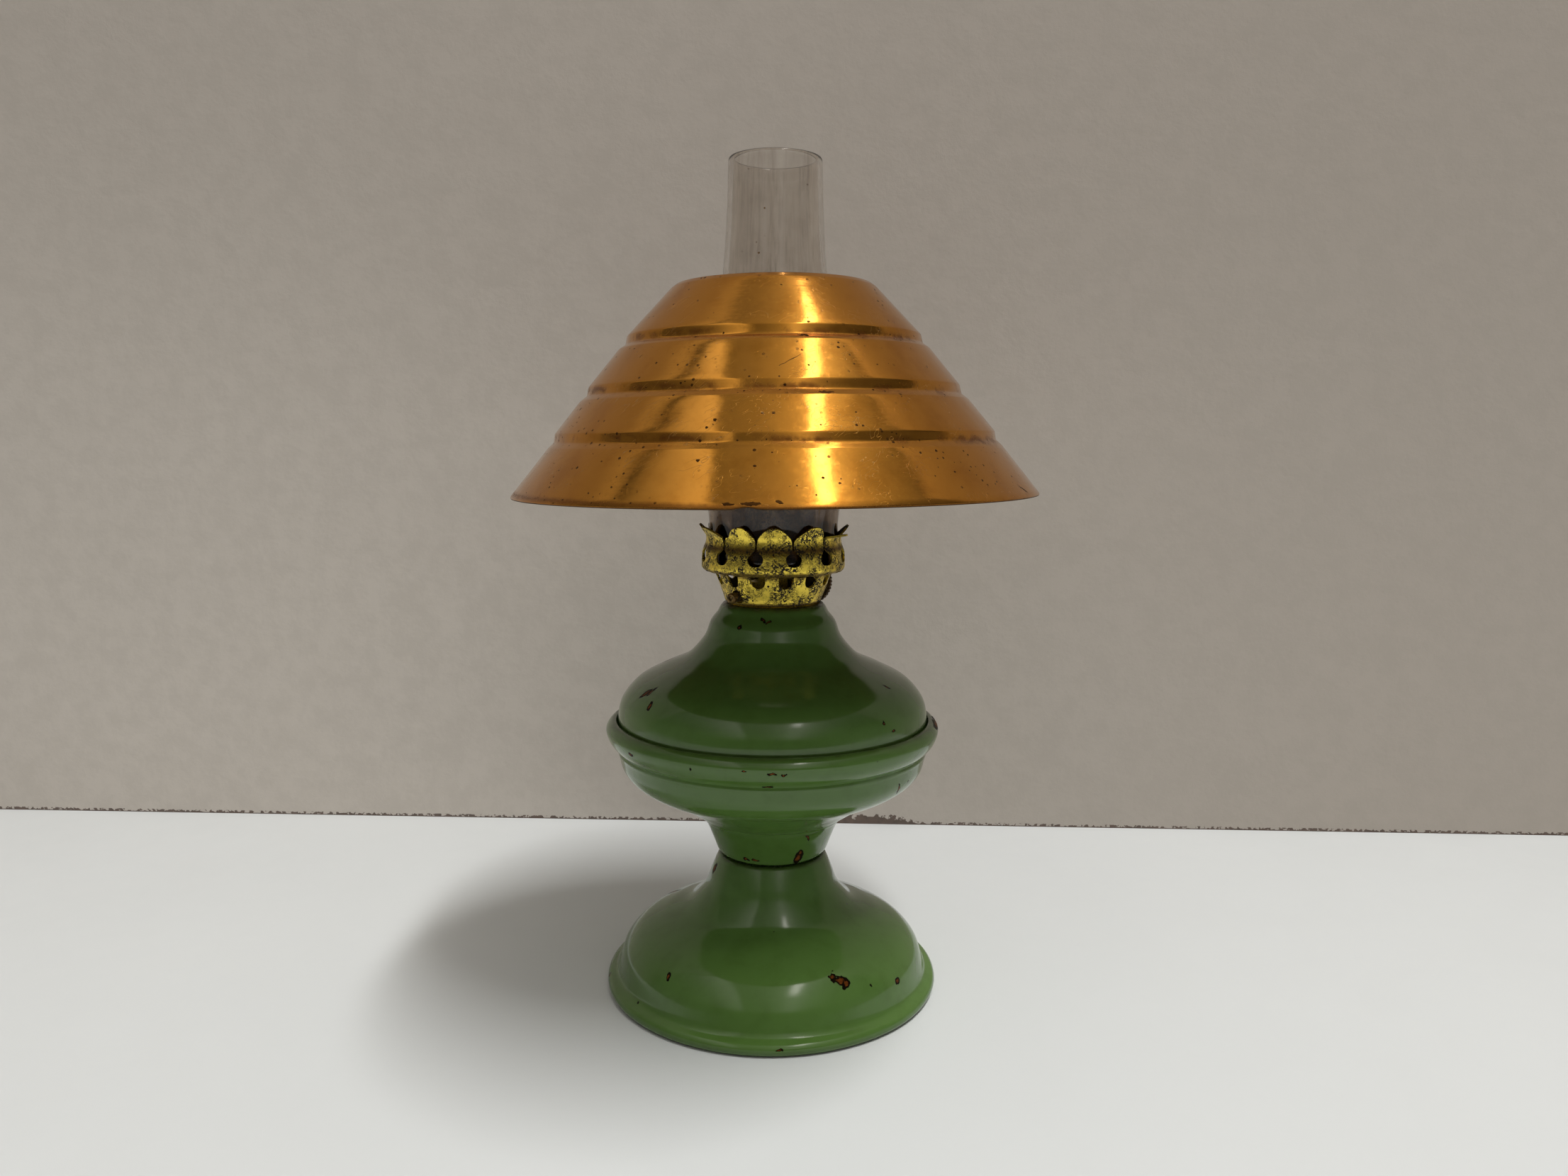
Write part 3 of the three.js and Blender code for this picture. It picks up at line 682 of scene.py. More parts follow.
# Dark nicks and scratches on the shade: (angle, height, half width, half height, slant).
SHADE_MARKS = [
    (-3.5, 113.7, 1.9, 0.35, 0),
    (-7.5, 113.6, 1.2, 0.25, 0),
    (1.5, 114.0, 0.8, 0.3, 10),
    (5.0, 139.6, 2.6, 0.06, -28),
    (-13.0, 128.3, 0.35, 0.3, 0),
    (-14.5, 126.9, 0.25, 0.25, 0),
    (-15.0, 121.0, 0.3, 0.3, 0),
    (14.0, 133.6, 1.6, 0.25, 0),
    (10.0, 144.6, 1.2, 0.2, 0),
    (62.0, 115.2, 1.6, 0.18, 25),
]


def scratch_field(g):
    """Short thin scratches in one slanting direction."""
    slanted = g.node("ShaderNodeMapping", {"Vector": g.place, "Rotation": (0.5, 0.6, 0.4)})
    stretched = g.scaled(slanted, (0.12, 1.0, 1.0))
    lines = g.veins(1.6, 0.006, at=stretched, detail=1.0)
    return g.times(lines, g.remap(g.noise(8, 2), 0.5, 0.62))


def sooty_glass():
    """Clear glass with vertical smoke streaks, specks and a film, with painted shade on its left side and
    painted shade that turns it brown towards the bottom.
    """
    g = material_graph("sooty_glass")
    stretched = g.scaled(g.place, (1.0, 1.0, 0.07))
    streaks = g.remap(g.noise(1.5, 4, 0.62, at=stretched), 0.5, 0.74)
    film = g.remap(g.noise(9, 4, 0.6), 0.35, 0.75)
    specks = g.most(g.specks(1.3, 0.06, 0.2), g.specks(3.4, 0.25, 0.10))
    # Painted shade: the glass turns dark brown towards its foot, below the copper shade.
    brown = g.remap(g.z, 119, 110, 0.0, 0.5)
    # Painted shade on the left side of the glass.
    shaded = g.remap(g.x, 2, -11, 0, 0.05)
    haze_and_shade = g.add(shaded, g.add(g.times(streaks, 0.18), g.times(film, 0.07)))
    haze_and_shade = g.add(haze_and_shade, g.times(brown, g.remap(g.noise(4, 4), 0.3, 0.7, 0.4, 1.0)))
    mask = g.math("ADD", haze_and_shade, g.times(specks, 0.55), clamp=True)
    soot_and_shade = g.math("MULTIPLY", mask, 1.8, clamp=True)
    tint = g.mix(soot_and_shade, (0.925, 0.90, 0.865), (0.16, 0.075, 0.012))
    clear = g.less(1.0, g.add(g.times(specks, 0.6), g.times(streaks, 0.03)), clamp=True)
    roughness = g.add(0.01, g.times(mask, 0.08))
    normal = g.bump(g.noise(8, 2, at=g.scaled(g.place, (1, 1, 0.3))), 0.012)
    return g.surface(tint, roughness, normal, more={"IOR": 1.45, "Transmission Weight": clear})


def wick_cotton():
    """Woven cotton tape, oily in patches and burnt at the top."""
    g = material_graph("wick_cotton")
    turn = (0, 0, math.radians(SHAFT_TURN - 90))
    across = g.split(g.node("ShaderNodeMapping", {"Vector": g.place, "Rotation": turn}))[0]
    yarn, pick = 0.75, 0.55
    wales = g.math("SINE", g.times(across, math.tau / yarn))
    rows = g.math("SINE", g.times(g.z, math.tau / pick))
    weave = g.remap(g.times(wales, rows), -0.9, 0.9)
    cotton = g.mix(weave, (0.36, 0.30, 0.20), (0.66, 0.60, 0.48))
    cotton = g.mix(g.times(g.noise(3, 3), 0.5), cotton, (0.42, 0.33, 0.18))
    burnt = g.remap(g.add(g.z, g.times(g.noise(0.9, 3), 1.6)), WICK_TOP - 2.2, WICK_TOP - 0.3)
    colour = g.mix(burnt, cotton, (0.012, 0.010, 0.009))
    normal = g.bump(weave, 0.12, g.bump(g.noise(0.25, 3), 0.06))
    return g.surface(colour, 0.9, normal, more={"Sheen Weight": 0.25, "Sheen Roughness": 0.6})


def table_top():
    g = material_graph("table_top")
    white = g.mix(g.noise(60, 3), (0.64, 0.66, 0.665), (0.665, 0.685, 0.69))
    crumbs = g.specks(34, 0.35, 0.012)
    colour = g.mix(g.times(crumbs, 0.8), white, (0.2, 0.17, 0.14))
    roughness = g.remap(g.noise(12, 3), 0.3, 0.7, 0.42, 0.52)
    normal = g.bump(g.noise(1.2, 2), 0.01)
    return g.surface(colour, roughness, normal)


def painted_wall():
    """A warm grey wall that is seen from its front only, so that it never hides the lamp, with painted shade
    to the right and at the top and a painted wash of light high on the left.
    """
    g = material_graph("painted_wall")
    grey = g.mix(g.noise(110, 3), (0.60, 0.55, 0.495), (0.66, 0.605, 0.545))
    # Painted shade: the wall darkens towards the right and towards the top.
    grey = g.mix(g.remap(g.x, -160, 240), grey, (0.47, 0.42, 0.37))
    grey = g.mix(g.remap(g.z, 60, 260, 0, 0.5), grey, (0.42, 0.37, 0.325))
    mottled = g.remap(g.noise(7, 5, 0.65), 0.3, 0.7)
    grey = g.mix(g.times(mottled, 0.16), grey, (0.34, 0.31, 0.27))
    laid = g.noise(3, 3, at=g.scaled(g.place, (0.12, 1.0, 1.0)))
    grey = g.mix(g.times(laid, 0.05), grey, (0.34, 0.31, 0.27))
    beside = g.times(g.remap(g.x, 18, 23), g.remap(g.x, 48, 38))
    beside = g.times(beside, g.remap(g.noise(2.5, 3), 0.3, 0.6, 0.5, 1.0))
    gap = g.add(g.remap(g.noise(1.1, 2), 0.4, 0.6, 0.1, 0.9), g.times(beside, 2.3))
    joint = g.remap(g.less(g.z, gap), 0.35, 0.0)
    dark = g.mix(g.noise(2.2, 3), (0.03, 0.022, 0.018), (0.16, 0.10, 0.075))
    grey = g.mix(g.times(joint, 0.9), grey, dark)
    # A painted wash of light high up on the left.
    painted_light_wash = g.times(g.remap(g.z, 450, 800), g.remap(g.x, -200, -450))
    grey = g.mix(painted_light_wash, grey, (0.92, 0.88, 0.81))
    normal = g.bump(mottled, 0.05)
    g.surface(grey, 0.75, normal)
    output = g.tree.nodes["Material Output"].inputs["Surface"]
    shader = output.links[0].from_socket
    behind = g.node("ShaderNodeNewGeometry", {}, "Backfacing")
    clear = g.node("ShaderNodeBsdfTransparent", {})
    g.tree.links.new(g.node("ShaderNodeMixShader", {0: behind, 1: shader, 2: clear}), output)
    return g.owner


# The base


def dome_line(shoulder_r, shoulder_z):
    """The pressing that the foot and the font share: a shoulder, a fillet and a neck."""
    steps = [
        (1.1, 3.3), (4.0, 6.6), (9.4, 9.5), (15.4, 12.3), (17.8, 14.6), (19.7, 17.2), (20.9, 20.4),
    ]
    return [(shoulder_r - inwards, shoulder_z + up) for inwards, up in steps]


def dented(depth, size, seed):
    """A gentle unevenness of hand-worn sheet, as a function for warped."""
    shift = Vector((seed * 17.3, seed * 5.1, seed * 9.7))

    def move(v):
        out = Vector((v.x, v.y, 0))
        if out.length < 1:
            return v
        return v + out.normalized() * noise(v / size + shift) * depth

    return move


def painted(node, outline, line, chips, grime_and_shade, dents=None):
    """An enamelled piece of the base. Its chips lie along the line, which is the outline's outer part."""
    shape = lathe(outline)
    if dents:
        shape = warped(shape, dented(*dents))
    piece(f"painted_{node}", shape, enamel(f"{node}_enamel", line, chips, grime_and_shade), node)


def make_foot():
    tube = 1.45
    rim = arc((RIM_R - tube, tube), tube, -74, 70, 14)
    dome = dome_line(SHOULDER_R, FOOT_SHOULDER_Z)
    rise = smooth([rim[-1], (35.9, 3.3), (35.4, 4.2), (35.0, 5.6), *dome, (13.0, 28.6), (12.4, 29.8)])
    outside = [(RIM_R - 1.1, 0), *rim, *rise[1:], (12.1, FOOT_TOP - 0.1), (11.8, FOOT_TOP)]
    top = [(RIVET_HOLE_R, FOOT_TOP), (RIVET_HOLE_R, FOOT_TOP - TIN), (11.0, FOOT_TOP - TIN)]
    under = [(11.6, FOOT_TOP - 1.4), (13.2, 25.6), (16.6, 19.6), (19.1, 17.2), (25.2, 14.2), (30.4, 11.4)]
    throat = smooth([*under, (33, 8.4), (34.5, 4.2), (RIM_R - 3.0, 1.2)], 1.5)
    outline = [*outside, *top, *throat, (RIM_R - 2.5, 0)]
    chips = [
        (28, 11.8, 1.5, 0.5, 12), (30, 11.2, 1.0, 0.6, -30), (25.5, 12.6, 0.7, 0.3, 0),
        (54, 8.2, 0.8, 0.5, 0), (-42, 10.7, 0.7, 0.35, 35), (-74, 27, 0.7, 1.0, 20),
        (-80, 2.4, 0.5, 0.3, 0), (3, 2.0, 0.6, 0.2, 0), (150, 9.5, 1.1, 0.5, 15),
        (-120, 14, 0.6, 0.9, 0), (-160, 3.0, 1.0, 0.3, 0), (110, 20, 0.5, 0.6, 0),
    ]
    # Painted shadow where the stem cup stands on the foot, and a darker band along the bottom edge.
    grime_and_shade = [(FOOT_TOP, 0.8, 0.7), (0, 0.8, 0.8)]
    painted("foot", outline, outside, chips, grime_and_shade, (0.12, 14, 1))


def make_stem_cup():
    outside = smooth(
        [(10.6, CUP_BOTTOM), (11.7, CUP_BOTTOM + 0.15), (12.5, 31.4), (13.15, 33), (14.1, 35.4),
         (14.9, 37.3), (15.7, CUP_TOP + 0.45), (16.3, CUP_TOP + 1.05)],
        0.4,
    )
    lip = [(16.42, CUP_TOP + 1.3), (16.0, CUP_TOP + 1.4), (15.3, CUP_TOP + 0.4)]
    inside = [(14.2, 37.2), (12.9, 34.6), (11.7, CUP_BOTTOM + TIN), (RIVET_HOLE_R, CUP_BOTTOM + TIN)]
    outline = [(RIVET_HOLE_R, CUP_BOTTOM), *outside, *lip, *divided(inside, 1.5)]
    chips = [
        (27, 32.6, 0.9, 1.5, 8), (28.5, 34.0, 0.4, 0.6, 0), (-26, 32.2, 0.6, 0.4, 0),
        (-16, 32.2, 0.7, 0.3, 0), (79, 33.3, 0.6, 1.0, 0), (32, 37.6, 0.25, 1.0, -35),
        (170, 34, 0.7, 0.9, 0), (-110, 32, 0.8, 0.4, 0),
    ]
    # The band at the cup's bottom is painted shadow where it stands on the foot.
    painted("stem_cup", outline, outside, chips, [(CUP_BOTTOM, 0.4, 0.5)])


def make_font_bowl():
    floor = [(0, BOWL_FLOOR), (14.6, BOWL_FLOOR), (15.4, BOWL_FLOOR + 0.15)]
    bowl = smooth(
        [floor[-1], (18.4, 40.85), (21.8, 43.1), (25.7, 45.2), (29.5, 47.1), (32.4, 49.2), (34.1, 51.6),
         (34.75, 54.1)]
    )
    rib = smooth([bowl[-1], (34.9, 54.7), (35.05, 55.1), (35.0, 55.5), (34.95, 55.8)], 0.25)
    bead = smooth(
        [rib[-1], (35.3, 56.2), (36.15, 57.0), (36.95, 58.1), (37.45, 59.3), (BEAD_R, 60.4), (37.0, 61.5),
         (36.0, BEAD_TOP - 0.05)],
        0.4,
    )
    lip = [(35.4, BEAD_TOP - 0.1), (SHOULDER_R + 0.12, 61.8), (SHOULDER_R + 0.1, 59.7)]
    inside = smooth([(33.9, 59.4), (33.9, 54.4), (31.8, 49.8), (29, 47.8), (21.3, 44), (15.4, 39.9)], 1.5)
    underside = [*floor, *bowl[1:], *rib[1:], *bead[1:]]
    outline = [*underside, *lip, *inside, (14.6, BOWL_FLOOR + TIN), (0, BOWL_FLOOR + TIN)]
    chips = [
        (53, 51.5, 0.25, 1.4, -28), (60, 44.4, 1.2, 0.2, 25), (-1, 56.3, 1.0, 0.25, 0),
        (0.5, 59.5, 0.9, 0.3, 10), (4, 59.2, 0.5, 0.2, 0), (-52, 59.2, 0.8, 0.25, 0),
        (85, 61.3, 4.5, 0.6, 0), (-8, 59.8, 0.4, 0.2, 0), (140, 58, 1.1, 0.4, 0),
        (-130, 49, 0.6, 0.8, 0), (-150, 60.4, 1.6, 0.3, 0), (120, 46, 0.5, 0.5, 0),
    ]
    painted("font_bowl", outline, underside[2:], chips, [(BEAD_TOP, 0.7, 0.5)], (0.12, 15, 2))


def make_font_dome():
    wall = divided([(SHOULDER_R, DOME_BOTTOM), (SHOULDER_R, 63.4)], 1)
    dome = dome_line(SHOULDER_R, FONT_SHOULDER_Z)
    rim = [(12.45, 86.5), (11.95, 87.5), (11.4, 88.2), (10.9, NECK_TOP)]
    rise = smooth([wall[-1], (SHOULDER_R - 0.3, 65.3), *dome, *rim])
    inside = smooth(
        [(NECK_BORE_R, 87.5), (11.3, 86.9), (13.2, 83.9), (16.6, 78.1), (19.1, 75.6), (25.2, 72.6),
         (30.4, 69.8), (33, 66.8), (SHOULDER_R - TIN, 63.4)],
        1.5,
    )
    outline = [*wall, *rise[1:], (NECK_BORE_R, NECK_TOP), *inside, (SHOULDER_R - TIN, DOME_BOTTOM)]
    chips = [
        (-61, 70.4, 0.5, 1.1, 35), (-58.5, 70.9, 0.4, 0.7, 0), (-52, 68.8, 0.5, 0.8, -20),
        (43, 66.6, 0.35, 0.3, 0), (60, 72.1, 0.35, 0.3, 0), (47, 64.6, 0.5, 0.25, 0),
        (-30, 84.5, 0.45, 0.5, 0), (-9, 86.1, 0.5, 0.25, 0), (-4, 85.7, 0.6, 0.2, 0),
        (150, 70, 0.9, 0.6, 15), (-140, 67, 0.6, 0.9, 0), (175, 80, 0.5, 0.5, 0),
        (120, 66, 0.5, 0.4, 0), (-100, 74, 0.4, 0.4, 0),
    ]
    # Grime in the groove above the bead, and dirt with painted shade round the top of the neck.
    grime_and_shade = [(62.1, 0.6, 0.55), (NECK_TOP, 1.1, 0.9)]
    painted("font_dome", outline, [*wall, *rise], chips, grime_and_shade, (0.14, 17, 3))


# The burner


def threaded(depth, radius, bottom, top):
    """Cuts a round thread into the wall at a radius, between two heights; below 0 it cuts inwards."""

    def move(v):
        out = Vector((v.x, v.y, 0))
        if not (abs(out.length - radius) < 0.1 and bottom < v.z < top):
            return v
        turn = math.atan2(v.x, -v.y) / math.tau
        wave = 0.5 - 0.5 * math.cos(math.tau * (v.z / THREAD_PITCH - turn))
        fade = min(1, (v.z - bottom) / THREAD_FADE, (top - v.z) / THREAD_FADE)
        return v + out.normalized() * depth * wave * fade

    return move


def make_collar(brass):
    outer = NECK_BORE_R - 0.06
    flange_top = COLLAR_TOP - 1.5
    bore = divided([(COLLAR_BORE_R, COLLAR_TOP), (COLLAR_BORE_R, COLLAR_BOTTOM)], THREAD_STEP)
    outline = [
        *bore, (outer, COLLAR_BOTTOM), (outer, flange_top - 0.6), (outer + 0.6, flange_top - 0.6),
        (outer + 0.6, flange_top), (outer, flange_top), (outer, COLLAR_TOP),
    ]
    thread = threaded(0.32, COLLAR_BORE_R, COLLAR_BOTTOM + 0.3, COLLAR_TOP - 0.3)
    piece("threaded_collar", warped(lathe(outline), thread), brass, "font_collar")


def make_skirt(brass):
    outer = COLLAR_BORE_R - 0.06
    inner = outer - BRASS_SHEET
    deck_r = 10.05
    wall = divided([(outer, SKIRT_BOTTOM), (outer, DECK)], THREAD_STEP)
    outline = [
        (0, DECK), (inner, DECK), (inner, SKIRT_BOTTOM), *wall, (deck_r, DECK), (deck_r, DECK_TOP),
        (0, DECK_TOP),
    ]
    thread = threaded(-0.3, outer, SKIRT_BOTTOM + 0.2, DECK - 0.5)
    made = piece("threaded_skirt", warped(lathe(outline, 144), thread), brass, "burner_skirt")
    notch = [(0.5, -3.3), (4.42, -3.3), (4.42, 3.3), (0.5, 3.3)]
    corners = [FROM_WICK * n + ALONG_SHAFT * t for n, t in notch]
    vent = circle((5.2, -4.2), 0.8, 24)
    cut(made, along_wick(prism(stadium(*WICK_ROOM), DECK - 1, DECK_TOP + 1)))
    cut(made, prism([(c.x, c.y) for c in reversed(corners)], DECK - 1.1, DECK_TOP + 1.1))
    cut(made, prism(vent, DECK - 1, DECK_TOP + 1))


BASKET_REF_R = 11.9  # the radius at which the basket's flat cut is as long as it is round


def shaft_angle(along):
    """The angle round the lamp at which the shaft stands at a distance along it."""
    place = FROM_WICK * SHAFT_OFFSET + ALONG_SHAFT * along
    return math.degrees(math.atan2(place.x, -place.y))


def line_walker(line):
    """A function that gives the place at a distance along a line, and the line's length."""
    lengths = [0.0]
    for a, b in zip(line, line[1:]):
        lengths.append(lengths[-1] + math.dist(a, b))

    def walk(distance):
        distance = min(max(distance, 0), lengths[-1])
        for i in range(len(line) - 1):
            if distance <= lengths[i + 1]:
                share = (distance - lengths[i]) / (lengths[i + 1] - lengths[i])
                return Vector(line[i]).lerp(Vector(line[i + 1]), share)
        return Vector(line[-1])

    return walk, lengths[-1]


def bell(value, width):
    """1 at 0, and under a seventh beyond width either way."""
    return math.exp(-((value / width) ** 2) * 2)


def make_basket(brass):
    """The pierced wall of the burner, pushed out round the shaft's free end and creased beside it."""
    line = smooth(
        [(10.45, DECK), (10.8, DECK + 0.25), (11.05, DECK + 1.1), (11.9, 92.1), (BASKET_R, BASKET_TOP)],
        0.3,
    )
    walk, length = line_walker(line)
    step = 360 / AIR_HOLES
    seam = AIR_HOLE_TURN + 7 * step
    per_degree = math.radians(BASKET_REF_R)
    side = AIR_HOLE_R * BASKET_REF_R / BASKET_R
    hole = [(1, 0), (1, 1.3), (0.7, 2.3), (0, 2.75), (-0.7, 2.3), (-1, 1.3), (-1, 0)]
    top = []
    for i in range(AIR_HOLES):
        middle = (seam - (i + 0.5) * step) * per_degree
        top += smooth([(middle + side * across, length - down) for across, down in hole], 0.3)
    start, end = (seam - 360) * per_degree, seam * per_degree
    outline = divided([(start, 0), (end, 0), (end, length), *top, (start, length)], 0.4)
    outline += divided([(start, length), (start, 0)], 0.4)[1:-1]
    front_angle, rear_angle = shaft_angle(-11.4), shaft_angle(11.9)
    hole_at = SHAFT_Z - DECK + 0.25
    holes = [
        circle((front_angle * per_degree, hole_at), 1.6, 30),
        circle((rear_angle * per_degree, hole_at), 1.95, 32),
    ]

    def bend(u, s):
        angle = u / per_degree
        r, z = walk(s)
        away = Vector(((angle - front_angle) * per_degree, z - SHAFT_Z))
        boss = 0.75 * bell(away.length, 3.0)
        fold_angle = front_angle + 7.5 - 0.45 * (z - 92)
        fold = 0.85 * bell((angle - fold_angle) * per_degree, 0.75) * bell(z - 92.3, 3.4)
        uneven = 0.1 * noise(around(r, angle, z) / 4)
        return around(r + boss + fold + uneven, angle, z)

    shape = pressed([outline, *holes], 0.5, bend, BRASS_SHEET)
    piece("pierced_basket", shape, brass, "burner_basket", crease=50)


CROWN_REF_R = 15.8  # the radius at which the crown's flat cut is as long as it is round
WINDOW_Z = 98.0  # where the windows between the prongs begin
CREASE_Z = 103.2  # where the prongs bend outwards
# How far each prong's tip leans out, in degrees from upright, where it was bent by hand.
PRONG_LEANS = {-3: 34, -2: 42, -1: 24, 0: 26, 1: 22, 2: 82, 3: 38}
PRONG_SKEWS = {1: 0.36, -2: -0.3, -1: 0.05, 2: 0.12}


def crown_side(neck, pad, crease, window, notch):
    """One side of a prong in the flat, from the window beside it up to the tip.

    The four lengths are those of the prong's stages up the sheet; a notch makes it look bitten off.
    """
    half_step = math.radians(180 / PRONGS) * CROWN_REF_R
    lower = [
        (half_step, window), (3.1, window + 0.25), (2.5, window + 1.1), (2.4, neck - 0.2),
        (2.6, neck + 0.3), (3.5, pad - 0.2), (3.86, pad + 0.4), (3.88, crease - 0.2),
    ]
    arch = [(3.7, crease + 0.45), (3.05, crease + 1.3), (2.15, crease + 2.25), (1.1, crease + 2.95)]
    if notch:
        arch = [
            (3.8, crease + 0.45), (2.75, crease + 0.75), (2.4, crease + 1.5), (1.7, crease + 2.4),
            (0.9, crease + 2.9),
        ]
    return smooth([*lower, *arch, (0, crease + 3.15)], 0.35)


def make_crown(brass):
    """The gallery: a seat, a wall with twelve windows, and twelve prongs bent round the glass."""
    line = filleted(
        [(12.8, CROWN_BOTTOM + 0.05), (13.3, CROWN_BOTTOM + 0.05), (15.4, CROWN_BOTTOM + 0.4),
         (16.1, CROWN_BOTTOM + 1.1), (16.08, 98.2), (15.95, 100.1), (15.2, 101.8), (15.06, 102.4),
         (15.05, CREASE_Z)],
        0.7,
        0.35,
    )
    walk, length = line_walker(line)
    base_length = sum(math.dist(a, b) for a, b in zip(line, line[1:]) if b[1] <= WINDOW_Z)
    neck, pad = length - 3.5, length - 2.1
    per_degree = math.radians(CROWN_REF_R)
    first, last = -5, 6
    turn = 360 / PRONGS
    top = []
    for i in range(last, first - 1, -1):
        middle = (PRONG_TURN + i * turn) * per_degree
        skew = PRONG_SKEWS.get(i, draw.uniform(-0.08, 0.08))
        right = crown_side(neck, pad, length, base_length, False)
        left = crown_side(neck, pad, length, base_length, i == -1)
        side = [*right, *[(-u, s) for u, s in reversed(left)][1:]]
        top += [(middle + u + skew * max(0, s - length), s) for u, s in side[:-1]]
    start = (PRONG_TURN + (first - 0.5) * turn) * per_degree
    end = (PRONG_TURN + (last + 0.5) * turn) * per_degree
    bottom_edge = divided([(start, 0), (end, 0)], 0.4)
    right_edge = divided([(end, 0), (end, base_length)], 0.4)[1:-1]
    left_edge = divided([(start, base_length), (start, 0)], 0.4)[:-1]
    outline = [*bottom_edge, *right_edge, *top, *left_edge]
    leans = {i: PRONG_LEANS.get(i, draw.uniform(20, 38)) for i in range(first, last + 1)}
    pushes = {i: draw.uniform(-0.12, 0.25) for i in range(first, last + 1)}

    def bend(u, s):
        angle = u / per_degree
        prong = round((angle - PRONG_TURN) / turn)
        prong = prong if prong <= last else first
        r, z = walk(s)
        tip = max(0, s - length)
        if tip:
            lean = math.radians(leans[prong])
            bow = 0.7  # the stretch over which the tip turns outwards
            curved = min(tip, bow)
            r += bow / lean * (1 - math.cos(lean * curved / bow)) + (tip - curved) * math.sin(lean)
            z += bow / lean * math.sin(lean * curved / bow) + (tip - curved) * math.cos(lean)
        rise = max(0, z - 98.5) / 5
        push = max(0, pushes[prong]) * rise
        lip = 0.35 * bell((angle - 14) * per_degree, 2.2) * bell(z - 98.2, 1.1)
        ragged = 0.22 * noise(around(r, angle, 0) / 2.2) * bell(z - CROWN_BOTTOM - 0.3, 1.6)
        uneven = 0.12 * noise(around(r, angle, z) / 3.5)
        return around(r + push + lip + uneven, angle, z + ragged)

    shape = pressed([outline], 0.5, bend, THIN_BRASS)
    piece("pronged_crown", shape, brass, "gallery_crown", crease=50)


def make_diffuser(brass):
    turned, _ = along_wick(([Vector((x, y, 0)) for x, y in stadium(*WICK_ROOM)], []))
    slot = [(v.x, v.y) for v in turned]
    holes = [circle(around(11.3, i * 30, 0).xy, 0.7, 14) for i in range(12)]
    outline = circle((0, 0), 12.5, 120)

    def bend(u, s):
        return Vector((u, s, PLATE_TOP))

    shape = pressed([outline, slot, *holes], 0.9, bend, THIN_BRASS)
    piece("air_plate", shape, brass, "air_diffuser")


def make_deflector():
    flange_r = 10.3
    foot = [(flange_r, DEFLECTOR_BOTTOM), (flange_r, DEFLECTOR_BOTTOM + BRASS_SHEET)]
    outside = smooth(
        [(DEFLECTOR_R, 98), (DEFLECTOR_R, 104), (DEFLECTOR_R, 110.4), (8.45, 113.7), (5.6, 115.9),
         (2.6, DEFLECTOR_TOP - 0.15), (0, DEFLECTOR_TOP)],
        0.7,
    )
    corner = filleted([foot[1], (DEFLECTOR_R, DEFLECTOR_BOTTOM + BRASS_SHEET), outside[0]], 0.4)
    bore = DEFLECTOR_R - BRASS_SHEET
    inside = smooth(
        [(0, DEFLECTOR_TOP - BRASS_SHEET), (2.5, 116.0), (5.3, 115.4), (8.0, 113.4), (bore, 110.4),
         (bore, 104), (bore, DEFLECTOR_BOTTOM)],
        0.9,
    )
    outline = [*inside, foot[0], *corner, *outside[1:]]
    shape = warped(lathe(outline, 128), dented(0.15, 8, 4))
    made = piece("flame_deflector", shape, stained_brass(), "deflector_dome")
    cut(made, along_wick(prism(stadium(*FLAME_SLOT), 112, DEFLECTOR_TOP + 2)))


def wheel_teeth(count, depth, from_r):
    """Draws the outside of a wheel in between its teeth."""

    def move(v):
        out = Vector((v.x, v.y, 0))
        if out.length < from_r:
            return v
        wave = 0.5 - 0.5 * math.cos(count * math.atan2(v.y, v.x))
        return v - out.normalized() * depth * wave

    return move


def make_winder(brass, dark):
    end, head = -14.65, WHEEL_AT + 0.7
    rod = [
        (0, end + 0.35), (0.42, end + 0.35), (0.5, end), (SHAFT_R - 0.22, end), (SHAFT_R, end + 0.22),
        *divided([(SHAFT_R, end + 1), (SHAFT_R, head)], 3),
        (SHAFT_R + 0.6, head), (SHAFT_R + 0.55, head + 0.3), (SHAFT_R + 0.2, head + 0.62), (0, head + 0.7),
    ]
    piece("wick_shaft", on_shaft(lathe(rod, 48)), brass, "winder_shaft")
    bore = SHAFT_R + 0.06
    for name, at in (("front", -SPUR_AT), ("rear", SPUR_AT)):
        outline = [
            (bore, at - 0.5), (1.6, at - 0.5), (1.72, at - 0.38), (1.72, at + 0.38), (1.6, at + 0.5),
            (bore, at + 0.5),
        ]
        shape = warped(lathe(outline, 100), wheel_teeth(10, 0.32, 1.5))
        piece(f"spur_{name}", on_shaft(shape), brass, f"spur_wheel_{name}")
    near, far = WHEEL_AT - 0.55, WHEEL_AT + 0.55
    outline = [
        (bore, near - 1.5), (1.85, near - 1.5), (2, near - 1.3), (2, near + 0.15), (4.4, near + 0.15),
        (4.75, near), *divided([(5.05, near), (5.5, near)], 0.2),
        *arc((WHEEL_R - 0.3, WHEEL_AT - 0.25), 0.3, -90, 0, 3),
        *arc((WHEEL_R - 0.3, WHEEL_AT + 0.25), 0.3, 0, 90, 3),
        (5.05, far), (4.75, far), (4.4, far - 0.18), (2.9, far - 0.18), (2.6, far - 0.02),
        (2.2, far - 0.02), (1.9, far - 0.1), (bore, far - 0.1),
    ]
    shape = warped(lathe(outline, 240), wheel_teeth(40, 0.22, 5.3))
    piece("knurled_thumbwheel", on_shaft(shape), dark, "thumbwheel")


def make_bush(brass):
    bore, outer = SHAFT_R + 0.06, 1.8
    outline = [(bore, 10.3), (outer, 10.3), (outer, 13.7), (outer - 0.2, 14), (bore + 0.1, 14), (bore, 13.9)]
    piece("shaft_bearing", on_shaft(lathe(outline, 48)), brass, "shaft_bush")


